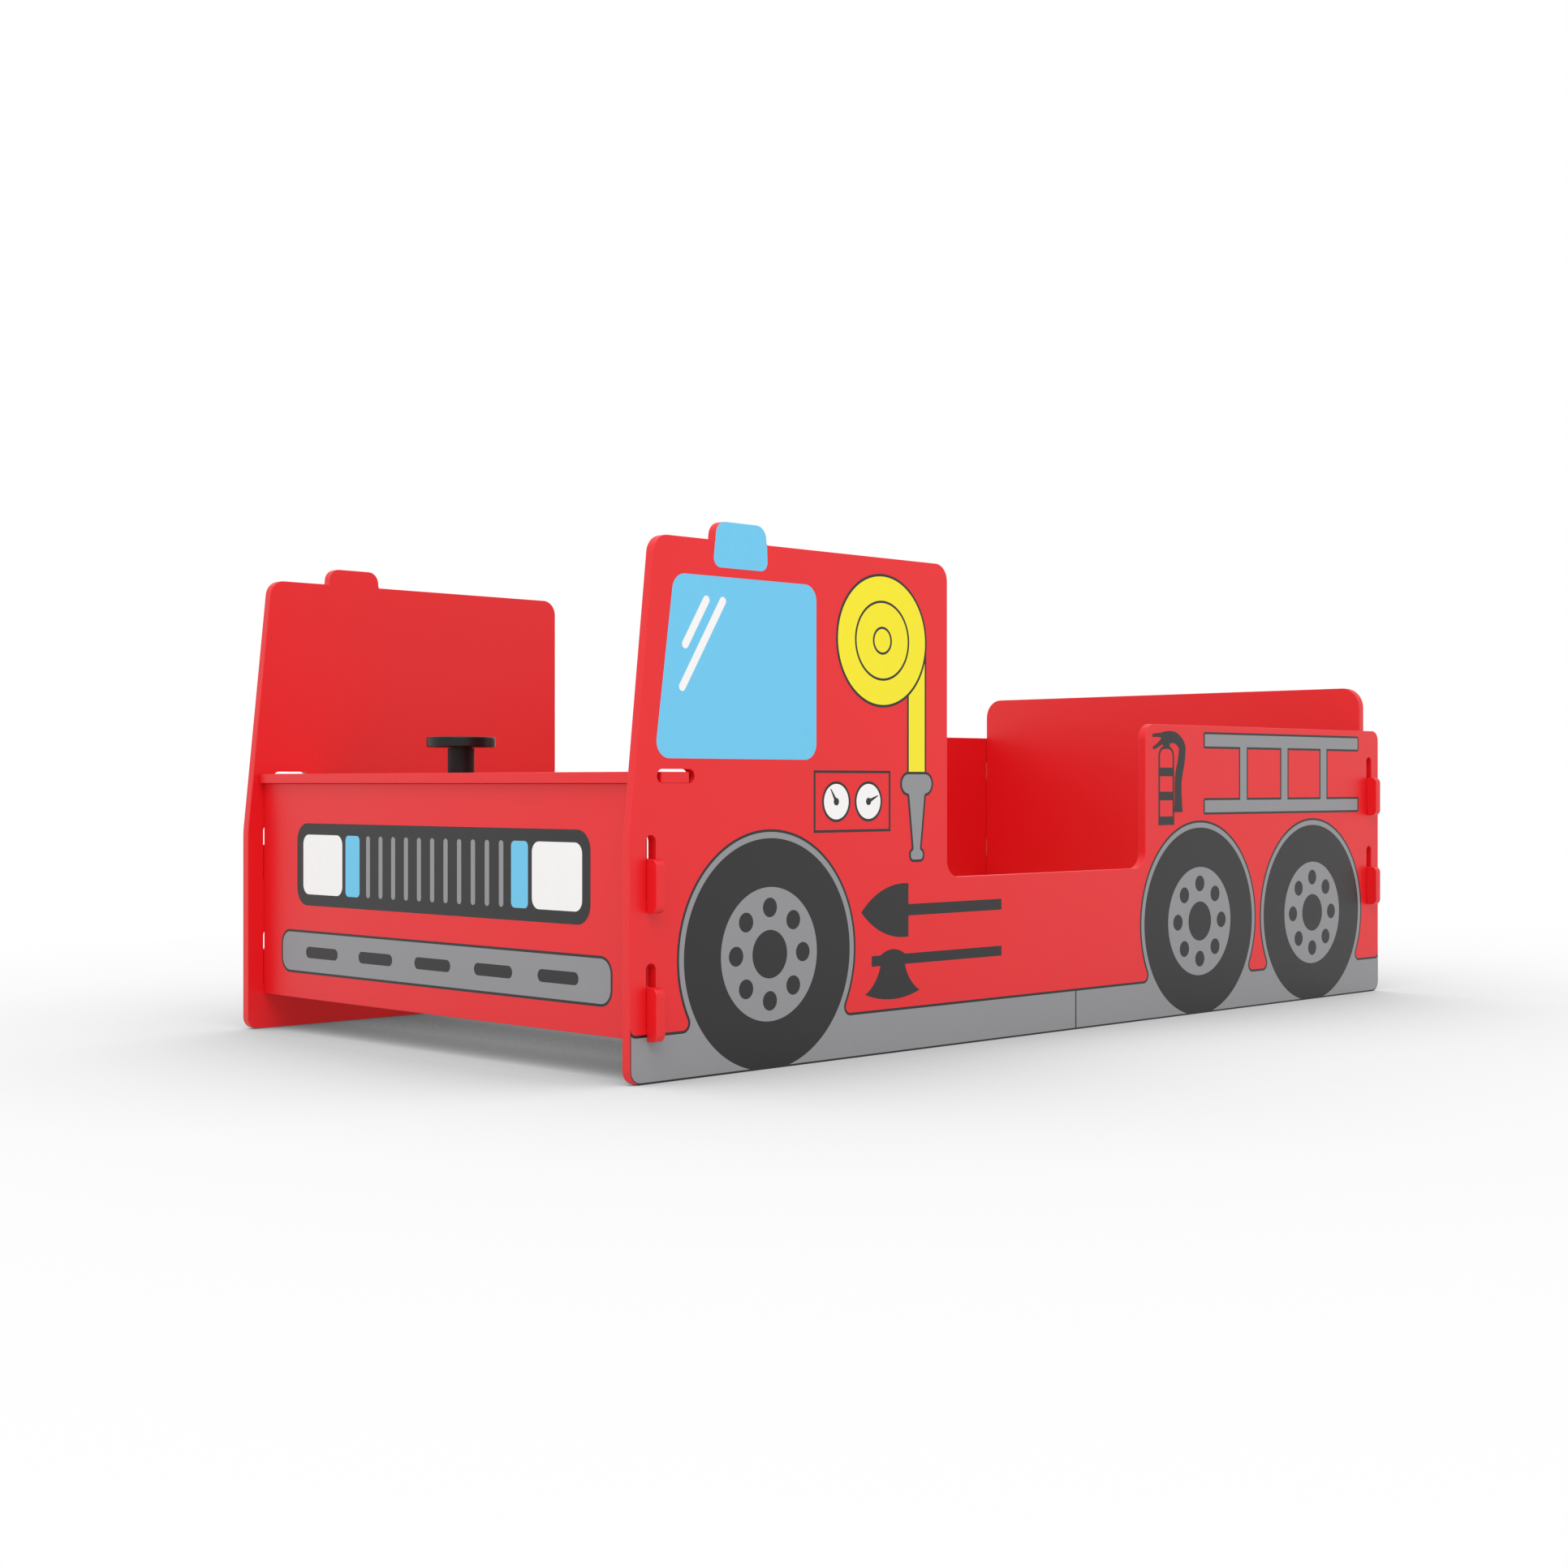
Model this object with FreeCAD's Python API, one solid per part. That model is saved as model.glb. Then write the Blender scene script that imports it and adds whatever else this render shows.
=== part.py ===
import FreeCAD, Part
import math
import os
from FreeCAD import Vector

# Fire engine bed for a toddler: painted boards that hook together, a steering wheel
# that turns on a bolt, and slats on two rails.
# Millimetres, +Z up. The engine's front faces -Y and its left side faces +X.
# The origin is the middle of the bed on the floor.
# "Back" is measured from the front edge of the side panels, "height" from the floor.

# Boards, and the mattress that they go round
BOARD = 12.0
EDGE_ROUND = 1.0
MATTRESS_LENGTH = 1400.0
MATTRESS_WIDTH = 700.0
MATTRESS_SIDE_PLAY = 13.0
MATTRESS_END_PLAY = 9.0

# Gaps between pieces
PANEL_PLAY = 0.3
SLOT_PLAY = 0.9
SEAT_GAP = 0.1
RUNNING_GAP = 0.05
SCREW_GAP = 0.1

# Side panels: outline
FRONT_SETBACK = 23.0
REAR_SETBACK = 21.0
FLOOR_CORNER = 15.0
RAKE_START = 250.0
RAKE_BACK = 34.5
RAKE_BEND = 150.0
CAB_HEIGHT = 571.0
CAB_BACK = 497.0
CAB_CORNER = 20.0
ENTRY_LENGTH = 397.0
ENTRY_HEIGHT = 200.0
ENTRY_CORNER = 20.0
TAIL_HEIGHT = 390.0
TAIL_FRONT_CORNER = 20.0
TAIL_REAR_CORNER = 15.0

# Beacon, a raised tongue on the cab's roof line
BEACON_MIDDLE = 158.8
BEACON_WIDTH = 77.5
BEACON_RISE = 20.5
BEACON_LEAN = 2.0
BEACON_CORNER = 15.0
BEACON_FOOT_ROUND = 2.0

# Front panel, rear panel and the hooks that hang them in the side panels
FRONT_PANEL_BOTTOM = 44.0
REAR_PANEL_BOTTOM = 44.0
REAR_PANEL_TOP = 455.0
REAR_PANEL_CORNER = 30.0
PANEL_CORNER = 3.0
NECK_HEIGHT = 45.0
LIP_DROP = 11.0
LIP_ROUND = 1.5
HOOK_REACH = 16.0
HOOK_ROUND = 8.0
HOOK_INNER_ROUND = 0.5
HOOK_SPACING = 133.0
FRONT_HOOK_TOP = 100.0
FRONT_LIFT_ROOM = 25.0
REAR_HOOK_DROP = 70.0
REAR_LIFT_ROOM = 31.0

# Dashboard shelf and its tabs
DASH_UNDERSIDE = 311.5
DASH_FRONT = 15.5
DASH_DEPTH = 97.0
DASH_TAB = 40.0
DASH_TAB_PLAY = 6.5
DASH_SLOT_HEADROOM = 3.0

# Steering wheel, its column and its bolt
WHEEL_DIAMETER = 80.0
WHEEL_EDGE_ROUND = 2.0
WHEEL_RIM = 11.0
WHEEL_HUB_DIAMETER = 36.0
SPOKE_COUNT = 3
SPOKE_WIDTH = 13.0
SPOKE_ROUND = 3.0
COLUMN_DIAMETER = 31.0
COLUMN_HEIGHT = 29.0
CAP_DIAMETER = 19.0
CAP_THICKNESS = 1.4
BOLT_DIAMETER = 6.0
BOLT_HEAD_DIAMETER = 10.5
BOLT_HEAD_HEIGHT = 3.3
BOLT_HEAD_ROOM = 0.4
BOLT_HOLE_PLAY = 0.3
BOLT_TAIL = 2.0
SOCKET_ACROSS = 4.0
SOCKET_DEPTH = 2.0
WASHER_DIAMETER = 14.0
WASHER_THICKNESS = 1.0
SLIP_WASHER_DIAMETER = 26.0
NUT_ACROSS = 10.0
NUT_HEIGHT = 6.0

# Slats and their rails
DECK_HEIGHT = 145.0
SLAT_COUNT = 11
SLAT_WIDTH = 70.0
SLAT_THICKNESS = 12.0
SLAT_SIDE_PLAY = 3.0
SLAT_END_GAP = 24.0
SLAT_ARRIS = 2.0
RAIL_WIDTH = 20.0
RAIL_HEIGHT = 30.0
RAIL_END_GAP = 20.0

# Countersunk wood screws
SCREW_DIAMETER = 4.0
SCREW_HEAD_DIAMETER = 8.0
SCREW_HEAD_DEPTH = 2.2
SCREW_COVER = 3.0
RAIL_SCREW_COUNT = 6
RAIL_SCREW_RISE = 8.0
RAIL_SCREW_END = 60.0
SLAT_SCREW_BITE = 13.0
COLUMN_SCREW_BITE = 16.0
COLUMN_SCREW_OFFSET = 9.5

# Places worked out from the sizes above
X_AXIS = Vector(1, 0, 0)
Y_AXIS = Vector(0, 1, 0)
Z_AXIS = Vector(0, 0, 1)

INNER_HALF = MATTRESS_WIDTH / 2 + MATTRESS_SIDE_PLAY
OUTER_HALF = INNER_HALF + BOARD
INNER_LENGTH = MATTRESS_LENGTH + 2 * MATTRESS_END_PLAY
LENGTH = FRONT_SETBACK + BOARD + INNER_LENGTH + BOARD + REAR_SETBACK
FRONT = -LENGTH / 2
FRONT_PANEL_Y = FRONT + FRONT_SETBACK
WELL_FRONT = FRONT_PANEL_Y + BOARD
WELL_REAR = WELL_FRONT + INNER_LENGTH

PANEL_HALF = INNER_HALF - PANEL_PLAY
LIP_INSIDE = OUTER_HALF + PANEL_PLAY
HOOK_END = OUTER_HALF + HOOK_REACH
FRONT_HOOK_TOPS = (FRONT_HOOK_TOP, FRONT_HOOK_TOP + HOOK_SPACING)
REAR_HOOK_TOP = TAIL_HEIGHT - REAR_HOOK_DROP
REAR_HOOK_TOPS = (REAR_HOOK_TOP - HOOK_SPACING, REAR_HOOK_TOP)

DASH_TOP = DASH_UNDERSIDE + BOARD
DASH_MIDDLE = FRONT + DASH_FRONT + DASH_DEPTH / 2
COLUMN_TOP = DASH_TOP + COLUMN_HEIGHT
WHEEL_BOTTOM = COLUMN_TOP + WASHER_THICKNESS + SEAT_GAP
WHEEL_TOP = WHEEL_BOTTOM + BOARD
CAP_SEAT = WHEEL_TOP - CAP_THICKNESS
BOLT_HEAD_TOP = CAP_SEAT - BOLT_HEAD_ROOM
BOLT_HEAD_SEAT = BOLT_HEAD_TOP - BOLT_HEAD_HEIGHT
HEAD_RECESS_FLOOR = BOLT_HEAD_SEAT - WASHER_THICKNESS - SEAT_GAP
HEAD_RECESS_RADIUS = WASHER_DIAMETER / 2 + BOLT_HOLE_PLAY
NUT_TOP = DASH_UNDERSIDE - WASHER_THICKNESS
BOLT_END = NUT_TOP - NUT_HEIGHT - BOLT_TAIL

RAIL_TOP = DECK_HEIGHT - SLAT_THICKNESS
RAIL_FRONT = WELL_FRONT + RAIL_END_GAP
RAIL_LENGTH = INNER_LENGTH - 2 * RAIL_END_GAP
RAIL_MIDDLE_X = INNER_HALF - RAIL_WIDTH / 2
SLAT_HALF = INNER_HALF - SLAT_SIDE_PLAY
SLAT_PITCH = (INNER_LENGTH - 2 * SLAT_END_GAP - SLAT_WIDTH) / (SLAT_COUNT - 1)
FIRST_SLAT_Y = WELL_FRONT + SLAT_END_GAP + SLAT_WIDTH / 2

LEFT = 1
RIGHT = -1


# Outlines and boards

def rounded_wire(corners, place):
    """Closed wire of straight runs and tangent arcs from (u, v, radius) corners, put in space by place."""
    starts, middles, ends = [], [], []
    for index, (u, v, radius) in enumerate(corners):
        corner = Vector(u, v, 0)
        before = Vector(*corners[index - 1][:2], 0) - corner
        after = Vector(*corners[(index + 1) % len(corners)][:2], 0) - corner
        before.normalize()
        after.normalize()
        half_angle = before.getAngle(after) / 2
        inwards = (before + after).normalize()
        reach = radius / math.tan(half_angle)
        starts.append(corner + before * reach)
        middles.append(corner + inwards * (radius / math.sin(half_angle) - radius))
        ends.append(corner + after * reach)
    edges = []
    for index in range(len(corners)):
        arc = [place(p.x, p.y) for p in (starts[index], middles[index], ends[index])]
        edges.append(Part.Arc(*arc).toShape())
        following = starts[(index + 1) % len(corners)]
        edges.append(Part.LineSegment(arc[2], place(following.x, following.y)).toShape())
    return Part.Wire(edges)


def rounded_board(corners, place, normal):
    """Board of the stock thickness with this outline, its rim eased on both faces."""
    board = Part.Face(rounded_wire(corners, place)).extrude(normal * BOARD)
    rim = [edge for edge in board.Edges if abs(edge.tangentAt(edge.FirstParameter).dot(normal)) < 0.5]
    return board.makeFillet(EDGE_ROUND, rim)


def slot_tool(first, last, radius, depth):
    """Round-ended bar from the first end's centre to the last, running along X by depth."""
    along = (last - first).normalize()
    across = along.cross(X_AXIS) * radius
    ahead = along * radius
    edges = [
        Part.LineSegment(first + across, last + across).toShape(),
        Part.Arc(last + across, last + ahead, last - across).toShape(),
        Part.LineSegment(last - across, first - across).toShape(),
        Part.Arc(first - across, first - ahead, first + across).toShape(),
    ]
    return Part.Face(Part.Wire(edges)).extrude(X_AXIS * depth)


def rod(radius, bottom, top):
    """Upright cylinder on the steering axis."""
    return Part.makeCylinder(radius, top - bottom, Vector(0, DASH_MIDDLE, bottom))


# Screws, and the holes that they go in

def screw_shape(head, direction, length, gap=0.0, above=0.0):
    """Countersunk screw pointing along direction from the middle of its head, grown by gap all round."""
    shank = SCREW_DIAMETER / 2 + gap
    wide = SCREW_HEAD_DIAMETER / 2 + gap
    tip = length + gap
    rim = [(wide, -above), (wide, 0)] if above else [(wide, 0)]
    profile = [(0, -above)] + rim + [(shank, SCREW_HEAD_DEPTH), (shank, tip), (0, tip), (0, -above)]
    face = Part.Face(Part.makePolygon([Vector(r, 0, z) for r, z in profile]))
    screw = face.revolve(Vector(0, 0, 0), Z_AXIS, 360)
    screw.Placement = FreeCAD.Placement(head, FreeCAD.Rotation(Z_AXIS, direction))
    return screw


def screw_hole(head, direction, length):
    return screw_shape(head, direction, length, gap=SCREW_GAP, above=SCREW_HEAD_DEPTH)


def rail_screw_places(side):
    """Heads of one rail's screws, spread evenly along the rail near its lower edge."""
    span = RAIL_LENGTH - 2 * RAIL_SCREW_END
    height = RAIL_TOP - RAIL_HEIGHT + RAIL_SCREW_RISE
    steps = [index / (RAIL_SCREW_COUNT - 1) for index in range(RAIL_SCREW_COUNT)]
    x = side * (INNER_HALF - RAIL_WIDTH)
    return [Vector(x, RAIL_FRONT + RAIL_SCREW_END + span * step, height) for step in steps]


def rail_screws(make, side):
    length = RAIL_WIDTH + BOARD - SCREW_COVER
    return [make(head, X_AXIS * side, length) for head in rail_screw_places(side)]


def slat_middle(index):
    return FIRST_SLAT_Y + index * SLAT_PITCH


def slat_screws(make, side):
    length = SLAT_THICKNESS + SLAT_SCREW_BITE
    heads = [Vector(side * RAIL_MIDDLE_X, slat_middle(index), DECK_HEIGHT) for index in range(SLAT_COUNT)]
    return [make(head, -Z_AXIS, length) for head in heads]


def column_screws(make):
    length = BOARD + COLUMN_SCREW_BITE
    offsets = (-COLUMN_SCREW_OFFSET, COLUMN_SCREW_OFFSET)
    return [make(Vector(x, DASH_MIDDLE, DASH_UNDERSIDE), Z_AXIS, length) for x in offsets]


# Side panels

def side_outline():
    """Corners of a side panel as (back, height, radius): floor, raked cab, beacon, entry and tail."""
    beacon_front = BEACON_MIDDLE - BEACON_WIDTH / 2
    beacon_rear = BEACON_MIDDLE + BEACON_WIDTH / 2
    beacon_top = CAB_HEIGHT + BEACON_RISE
    entry_rear = CAB_BACK + ENTRY_LENGTH
    return [
        (0, 0, FLOOR_CORNER),
        (LENGTH, 0, FLOOR_CORNER),
        (LENGTH, TAIL_HEIGHT, TAIL_REAR_CORNER),
        (entry_rear, TAIL_HEIGHT, TAIL_FRONT_CORNER),
        (entry_rear, ENTRY_HEIGHT, ENTRY_CORNER),
        (CAB_BACK, ENTRY_HEIGHT, ENTRY_CORNER),
        (CAB_BACK, CAB_HEIGHT, CAB_CORNER),
        (beacon_rear, CAB_HEIGHT, BEACON_FOOT_ROUND),
        (beacon_rear - BEACON_LEAN, beacon_top, BEACON_CORNER),
        (beacon_front + BEACON_LEAN, beacon_top, BEACON_CORNER),
        (beacon_front, CAB_HEIGHT, BEACON_FOOT_ROUND),
        (RAKE_BACK, CAB_HEIGHT, CAB_CORNER),
        (0, RAKE_START, RAKE_BEND),
    ]


def hook_seat_rise():
    """Height at which an eased board edge stops in the round end of its slot."""
    slot = BOARD / 2 + SLOT_PLAY - EDGE_ROUND
    board = BOARD / 2 - EDGE_ROUND
    return BOARD / 2 + SLOT_PLAY - math.sqrt(slot * slot - board * board) - EDGE_ROUND + SEAT_GAP


def hook_slot(x, panel_front, hook_top, lift_room):
    """Upright slot of one hook, with room above it to lift the panel out."""
    radius = BOARD / 2 + SLOT_PLAY
    middle = panel_front + BOARD / 2
    low = hook_top - NECK_HEIGHT - hook_seat_rise() + radius
    high = hook_top + lift_room - radius
    return slot_tool(Vector(x, middle, low), Vector(x, middle, high), radius, BOARD)


def dash_slot(x):
    """Level slot of the dashboard's tab."""
    radius = (BOARD + DASH_SLOT_HEADROOM) / 2
    reach = DASH_TAB / 2 + DASH_TAB_PLAY - radius
    height = DASH_UNDERSIDE + radius
    first = Vector(x, DASH_MIDDLE - reach, height)
    return slot_tool(first, Vector(x, DASH_MIDDLE + reach, height), radius, BOARD)


def side_panel(side):
    x = INNER_HALF if side == LEFT else -OUTER_HALF
    panel = rounded_board(side_outline(), lambda back, height: Vector(x, FRONT + back, height), X_AXIS)
    tools = [hook_slot(x, FRONT_PANEL_Y, top, FRONT_LIFT_ROOM) for top in FRONT_HOOK_TOPS]
    tools += [hook_slot(x, WELL_REAR, top, REAR_LIFT_ROOM) for top in REAR_HOOK_TOPS]
    tools.append(dash_slot(x))
    tools += rail_screws(screw_hole, side)
    return panel.cut(tools)


# Front panel, rear panel and dashboard

def hooked_outline(bottom, top, top_corner, hook_tops):
    """Corners of a panel whose hooks go through the side panels and drop over their outer faces."""
    right = [(PANEL_HALF, bottom, PANEL_CORNER)]
    for hook_top in hook_tops:
        neck = hook_top - NECK_HEIGHT
        right += [
            (PANEL_HALF, neck, HOOK_INNER_ROUND),
            (LIP_INSIDE, neck, HOOK_INNER_ROUND),
            (LIP_INSIDE, neck - LIP_DROP, LIP_ROUND),
            (HOOK_END, neck - LIP_DROP, HOOK_ROUND),
            (HOOK_END, hook_top, HOOK_ROUND),
            (PANEL_HALF, hook_top, HOOK_INNER_ROUND),
        ]
    right.append((PANEL_HALF, top, top_corner))
    return right + [(-x, height, radius) for x, height, radius in reversed(right)]


def front_panel():
    corners = hooked_outline(FRONT_PANEL_BOTTOM, DASH_UNDERSIDE, PANEL_CORNER, FRONT_HOOK_TOPS)
    return rounded_board(corners, lambda x, height: Vector(x, FRONT_PANEL_Y, height), Y_AXIS)


def rear_panel():
    corners = hooked_outline(REAR_PANEL_BOTTOM, REAR_PANEL_TOP, REAR_PANEL_CORNER, REAR_HOOK_TOPS)
    return rounded_board(corners, lambda x, height: Vector(x, WELL_REAR, height), Y_AXIS)


def dashboard():
    front = FRONT + DASH_FRONT
    rear = front + DASH_DEPTH
    tab_front = DASH_MIDDLE - DASH_TAB / 2
    tab_rear = DASH_MIDDLE + DASH_TAB / 2
    right = [
        (PANEL_HALF, front, PANEL_CORNER),
        (PANEL_HALF, tab_front, HOOK_INNER_ROUND),
        (OUTER_HALF, tab_front, PANEL_CORNER),
        (OUTER_HALF, tab_rear, PANEL_CORNER),
        (PANEL_HALF, tab_rear, HOOK_INNER_ROUND),
        (PANEL_HALF, rear, PANEL_CORNER),
    ]
    corners = right + [(-x, y, radius) for x, y, radius in reversed(right)]
    board = rounded_board(corners, lambda x, y: Vector(x, y, DASH_UNDERSIDE), Z_AXIS)
    bolt_hole = rod(BOLT_DIAMETER / 2 + BOLT_HOLE_PLAY, DASH_UNDERSIDE, DASH_TOP)
    return board.cut([bolt_hole] + column_screws(screw_hole))


# Steering

def steering_column():
    column = rod(COLUMN_DIAMETER / 2, DASH_TOP, COLUMN_TOP)
    bolt_hole = rod(BOLT_DIAMETER / 2 + BOLT_HOLE_PLAY, DASH_TOP, COLUMN_TOP)
    return column.cut([bolt_hole] + column_screws(screw_hole))


def spoke_gaps():
    """The openings between the wheel's hub, rim and spokes, with rounded corners."""
    rim_inside = WHEEL_DIAMETER / 2 - WHEEL_RIM
    gaps = rod(rim_inside, WHEEL_BOTTOM, WHEEL_TOP)
    gaps = gaps.cut(rod(WHEEL_HUB_DIAMETER / 2, WHEEL_BOTTOM, WHEEL_TOP))
    for index in range(SPOKE_COUNT):
        corner = Vector(-SPOKE_WIDTH / 2, DASH_MIDDLE, WHEEL_BOTTOM)
        spoke = Part.makeBox(SPOKE_WIDTH, WHEEL_DIAMETER, BOARD, corner)
        spoke.rotate(Vector(0, DASH_MIDDLE, 0), Z_AXIS, index * 360 / SPOKE_COUNT)
        gaps = gaps.cut(spoke)
    upright = [edge for edge in gaps.Edges if abs(edge.tangentAt(edge.FirstParameter).z) > 0.5]
    return gaps.makeFillet(SPOKE_ROUND, upright)


def steering_wheel():
    """Disc with a rounded rim, open between its spokes, recessed for the bolt's head and its cap."""
    disc = rod(WHEEL_DIAMETER / 2, WHEEL_BOTTOM, WHEEL_TOP).cut(spoke_gaps())
    rims = [edge for edge in disc.Edges if abs(edge.tangentAt(edge.FirstParameter).z) < 0.5]
    disc = disc.makeFillet(WHEEL_EDGE_ROUND, rims)
    return disc.cut([
        rod(BOLT_DIAMETER / 2 + RUNNING_GAP, WHEEL_BOTTOM, WHEEL_TOP),
        rod(HEAD_RECESS_RADIUS, HEAD_RECESS_FLOOR, WHEEL_TOP),
        rod(CAP_DIAMETER / 2 + RUNNING_GAP, CAP_SEAT, WHEEL_TOP),
    ])


def steering_wheel_cap():
    cap = rod(CAP_DIAMETER / 2, CAP_SEAT, WHEEL_TOP)
    top_rim = [edge for edge in cap.Edges if edge.BoundBox.ZMin > CAP_SEAT + CAP_THICKNESS / 2]
    return cap.makeFillet(CAP_THICKNESS / 3, top_rim)


def hexagon(across, bottom, top):
    """Six-sided prism on the steering axis, across flats."""
    corner = across / 2 / math.cos(math.pi / 6)
    turns = [index * math.pi / 3 for index in range(7)]
    spokes = [Vector(math.cos(turn), math.sin(turn), 0) * corner for turn in turns]
    points = [Vector(0, DASH_MIDDLE, bottom) + spoke for spoke in spokes]
    return Part.Face(Part.makePolygon(points)).extrude(Z_AXIS * (top - bottom))


def steering_bolt():
    """Button-head bolt with a hexagon socket, long enough to reach past its nut."""
    shank = rod(BOLT_DIAMETER / 2, BOLT_END, BOLT_HEAD_SEAT)
    head = rod(BOLT_HEAD_DIAMETER / 2, BOLT_HEAD_SEAT, BOLT_HEAD_TOP)
    crown = [edge for edge in head.Edges if edge.BoundBox.ZMin > BOLT_HEAD_SEAT + BOLT_HEAD_HEIGHT / 2]
    head = head.makeFillet(BOLT_HEAD_HEIGHT / 2, crown)
    return shank.fuse(head).cut(hexagon(SOCKET_ACROSS, BOLT_HEAD_TOP - SOCKET_DEPTH, BOLT_HEAD_TOP))


def washer(diameter, bottom):
    ring = rod(diameter / 2, bottom, bottom + WASHER_THICKNESS)
    hole = rod(BOLT_DIAMETER / 2 + BOLT_HOLE_PLAY, bottom, bottom + WASHER_THICKNESS)
    return ring.cut(hole)


def lock_nut():
    nut = hexagon(NUT_ACROSS, NUT_TOP - NUT_HEIGHT, NUT_TOP)
    return nut.cut(rod(BOLT_DIAMETER / 2 + RUNNING_GAP, NUT_TOP - NUT_HEIGHT, NUT_TOP))


# Slatted deck

def planed_bar(low, size, along):
    """Straight bar with its four long edges planed off."""
    bar = Part.makeBox(size.x, size.y, size.z, low)
    long_edges = [edge for edge in bar.Edges if abs(edge.tangentAt(edge.FirstParameter).dot(along)) > 0.5]
    return bar.makeChamfer(SLAT_ARRIS, long_edges)


def slat_rail(side):
    x = INNER_HALF - RAIL_WIDTH if side == LEFT else -INNER_HALF
    low = Vector(x, RAIL_FRONT, RAIL_TOP - RAIL_HEIGHT)
    rail = planed_bar(low, Vector(RAIL_WIDTH, RAIL_LENGTH, RAIL_HEIGHT), Y_AXIS)
    return rail.cut(rail_screws(screw_hole, side) + slat_screws(screw_hole, side))


def slat(index):
    low = Vector(-SLAT_HALF, slat_middle(index) - SLAT_WIDTH / 2, RAIL_TOP)
    bar = planed_bar(low, Vector(2 * SLAT_HALF, SLAT_WIDTH, SLAT_THICKNESS), X_AXIS)
    holes = [slat_screws(screw_hole, side)[index] for side in (LEFT, RIGHT)]
    return bar.cut(holes)


def both_sides(screws):
    return Part.makeCompound(screws(screw_shape, LEFT) + screws(screw_shape, RIGHT))


def build():
    nodes = {
        "left_side_panel": side_panel(LEFT),
        "right_side_panel": side_panel(RIGHT),
        "front_panel": front_panel(),
        "rear_panel": rear_panel(),
        "dashboard": dashboard(),
        "steering_column": steering_column(),
        "column_screws": Part.makeCompound(column_screws(screw_shape)),
        "steering_wheel": steering_wheel(),
        "steering_wheel_cap": steering_wheel_cap(),
        "steering_bolt": steering_bolt(),
        "head_washer": washer(WASHER_DIAMETER, BOLT_HEAD_SEAT - WASHER_THICKNESS),
        "slip_washer": washer(SLIP_WASHER_DIAMETER, COLUMN_TOP),
        "nut_washer": washer(WASHER_DIAMETER, NUT_TOP),
        "lock_nut": lock_nut(),
        "left_slat_rail": slat_rail(LEFT),
        "right_slat_rail": slat_rail(RIGHT),
        "rail_screws": both_sides(rail_screws),
        "slat_screws": both_sides(slat_screws),
    }
    for index in range(SLAT_COUNT):
        nodes["slat_%02d" % (index + 1)] = slat(index)
    return nodes


def main():
    os.makedirs("parts", exist_ok=True)
    for name, shape in build().items():
        shape.exportStep("parts/%s.step" % name)


main()
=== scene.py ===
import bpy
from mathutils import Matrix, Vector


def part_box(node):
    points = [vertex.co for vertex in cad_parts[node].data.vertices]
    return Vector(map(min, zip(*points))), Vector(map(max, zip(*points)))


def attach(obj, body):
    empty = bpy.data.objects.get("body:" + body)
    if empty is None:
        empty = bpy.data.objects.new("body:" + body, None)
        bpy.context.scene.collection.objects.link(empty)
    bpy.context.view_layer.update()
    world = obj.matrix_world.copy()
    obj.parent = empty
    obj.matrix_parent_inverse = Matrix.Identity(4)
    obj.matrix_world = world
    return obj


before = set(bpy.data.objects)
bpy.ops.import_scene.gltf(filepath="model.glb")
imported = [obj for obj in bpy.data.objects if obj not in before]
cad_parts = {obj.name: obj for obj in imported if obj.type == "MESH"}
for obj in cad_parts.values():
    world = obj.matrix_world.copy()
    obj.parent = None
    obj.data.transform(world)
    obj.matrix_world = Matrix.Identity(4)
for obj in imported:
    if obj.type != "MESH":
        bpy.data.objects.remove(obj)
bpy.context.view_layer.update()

import math

import bpy
import numpy as np
from bpy.props import FloatProperty, FloatVectorProperty, IntProperty, PointerProperty
from mathutils import Vector

# Looks of the fire engine bed: lacquer, printed inks, wood and metal, and the studio round it.
# Metres, +Z up. The engine's front faces -Y and its left side faces +X.
# On a side panel a point is (back, height): back from the panel's front edge, height from the floor.
# On the front panel a point is (across, height): across from the bed's middle plane.

bl_info = {
    "name": "Fire engine bed",
    "version": (1, 0, 0),
    "blender": (4, 5, 0),
    "location": "View3D > Sidebar > Bed",
    "description": "Finishes and prints for the packed bed, and a studio to see it in",
    "category": "Object",
}

BODY = "bed_frame"
SIDES = ("left", "right")

SIDE_LOW, SIDE_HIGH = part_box("left_side_panel")
CAB_FRONT = SIDE_LOW[1]
SIDE_FACE = SIDE_HIGH[0]
SIDE_LENGTH = SIDE_HIGH[1] - SIDE_LOW[1]
BEACON_TOP = SIDE_HIGH[2]
FRONT_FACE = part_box("front_panel")[0][1]

# How many points draw each kind of line
TIP_POINTS = 3
HEM_POINTS = 7
CORNER_POINTS = 9
SPAN_POINTS = 12
BEND_POINTS = 13
ARC_POINTS = 17
BOSS_POINTS = 33
LUG_POINTS = 40
HUB_POINTS = 48
DIAL_POINTS = 64
CIRCLE_POINTS = 96
ARCH_POINTS = 97
TYRE_POINTS = 129

# Rounding of ink corners as a share of the line beside them, and of a grille bar as a share of its half width
SOFT = 1 / 4
CRISP = 1 / 8
BAR_ROUND = 0.9

# Rounding of the beacon's corners at the roof line, and slack in finding them, as shares of the board's rim
ROOF_CRISP = 1 / 10
ROOF_SLACK = 1 / 100

# Share of a line's width that the grey band leaves free along the board's rim
BAND_SETBACK = 1 / 3

# Where the floor line ends on the side panel's front and rear corners, in degrees
FLOOR_LINE_FRONT = 250
FLOOR_LINE_REAR = 330

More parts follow.
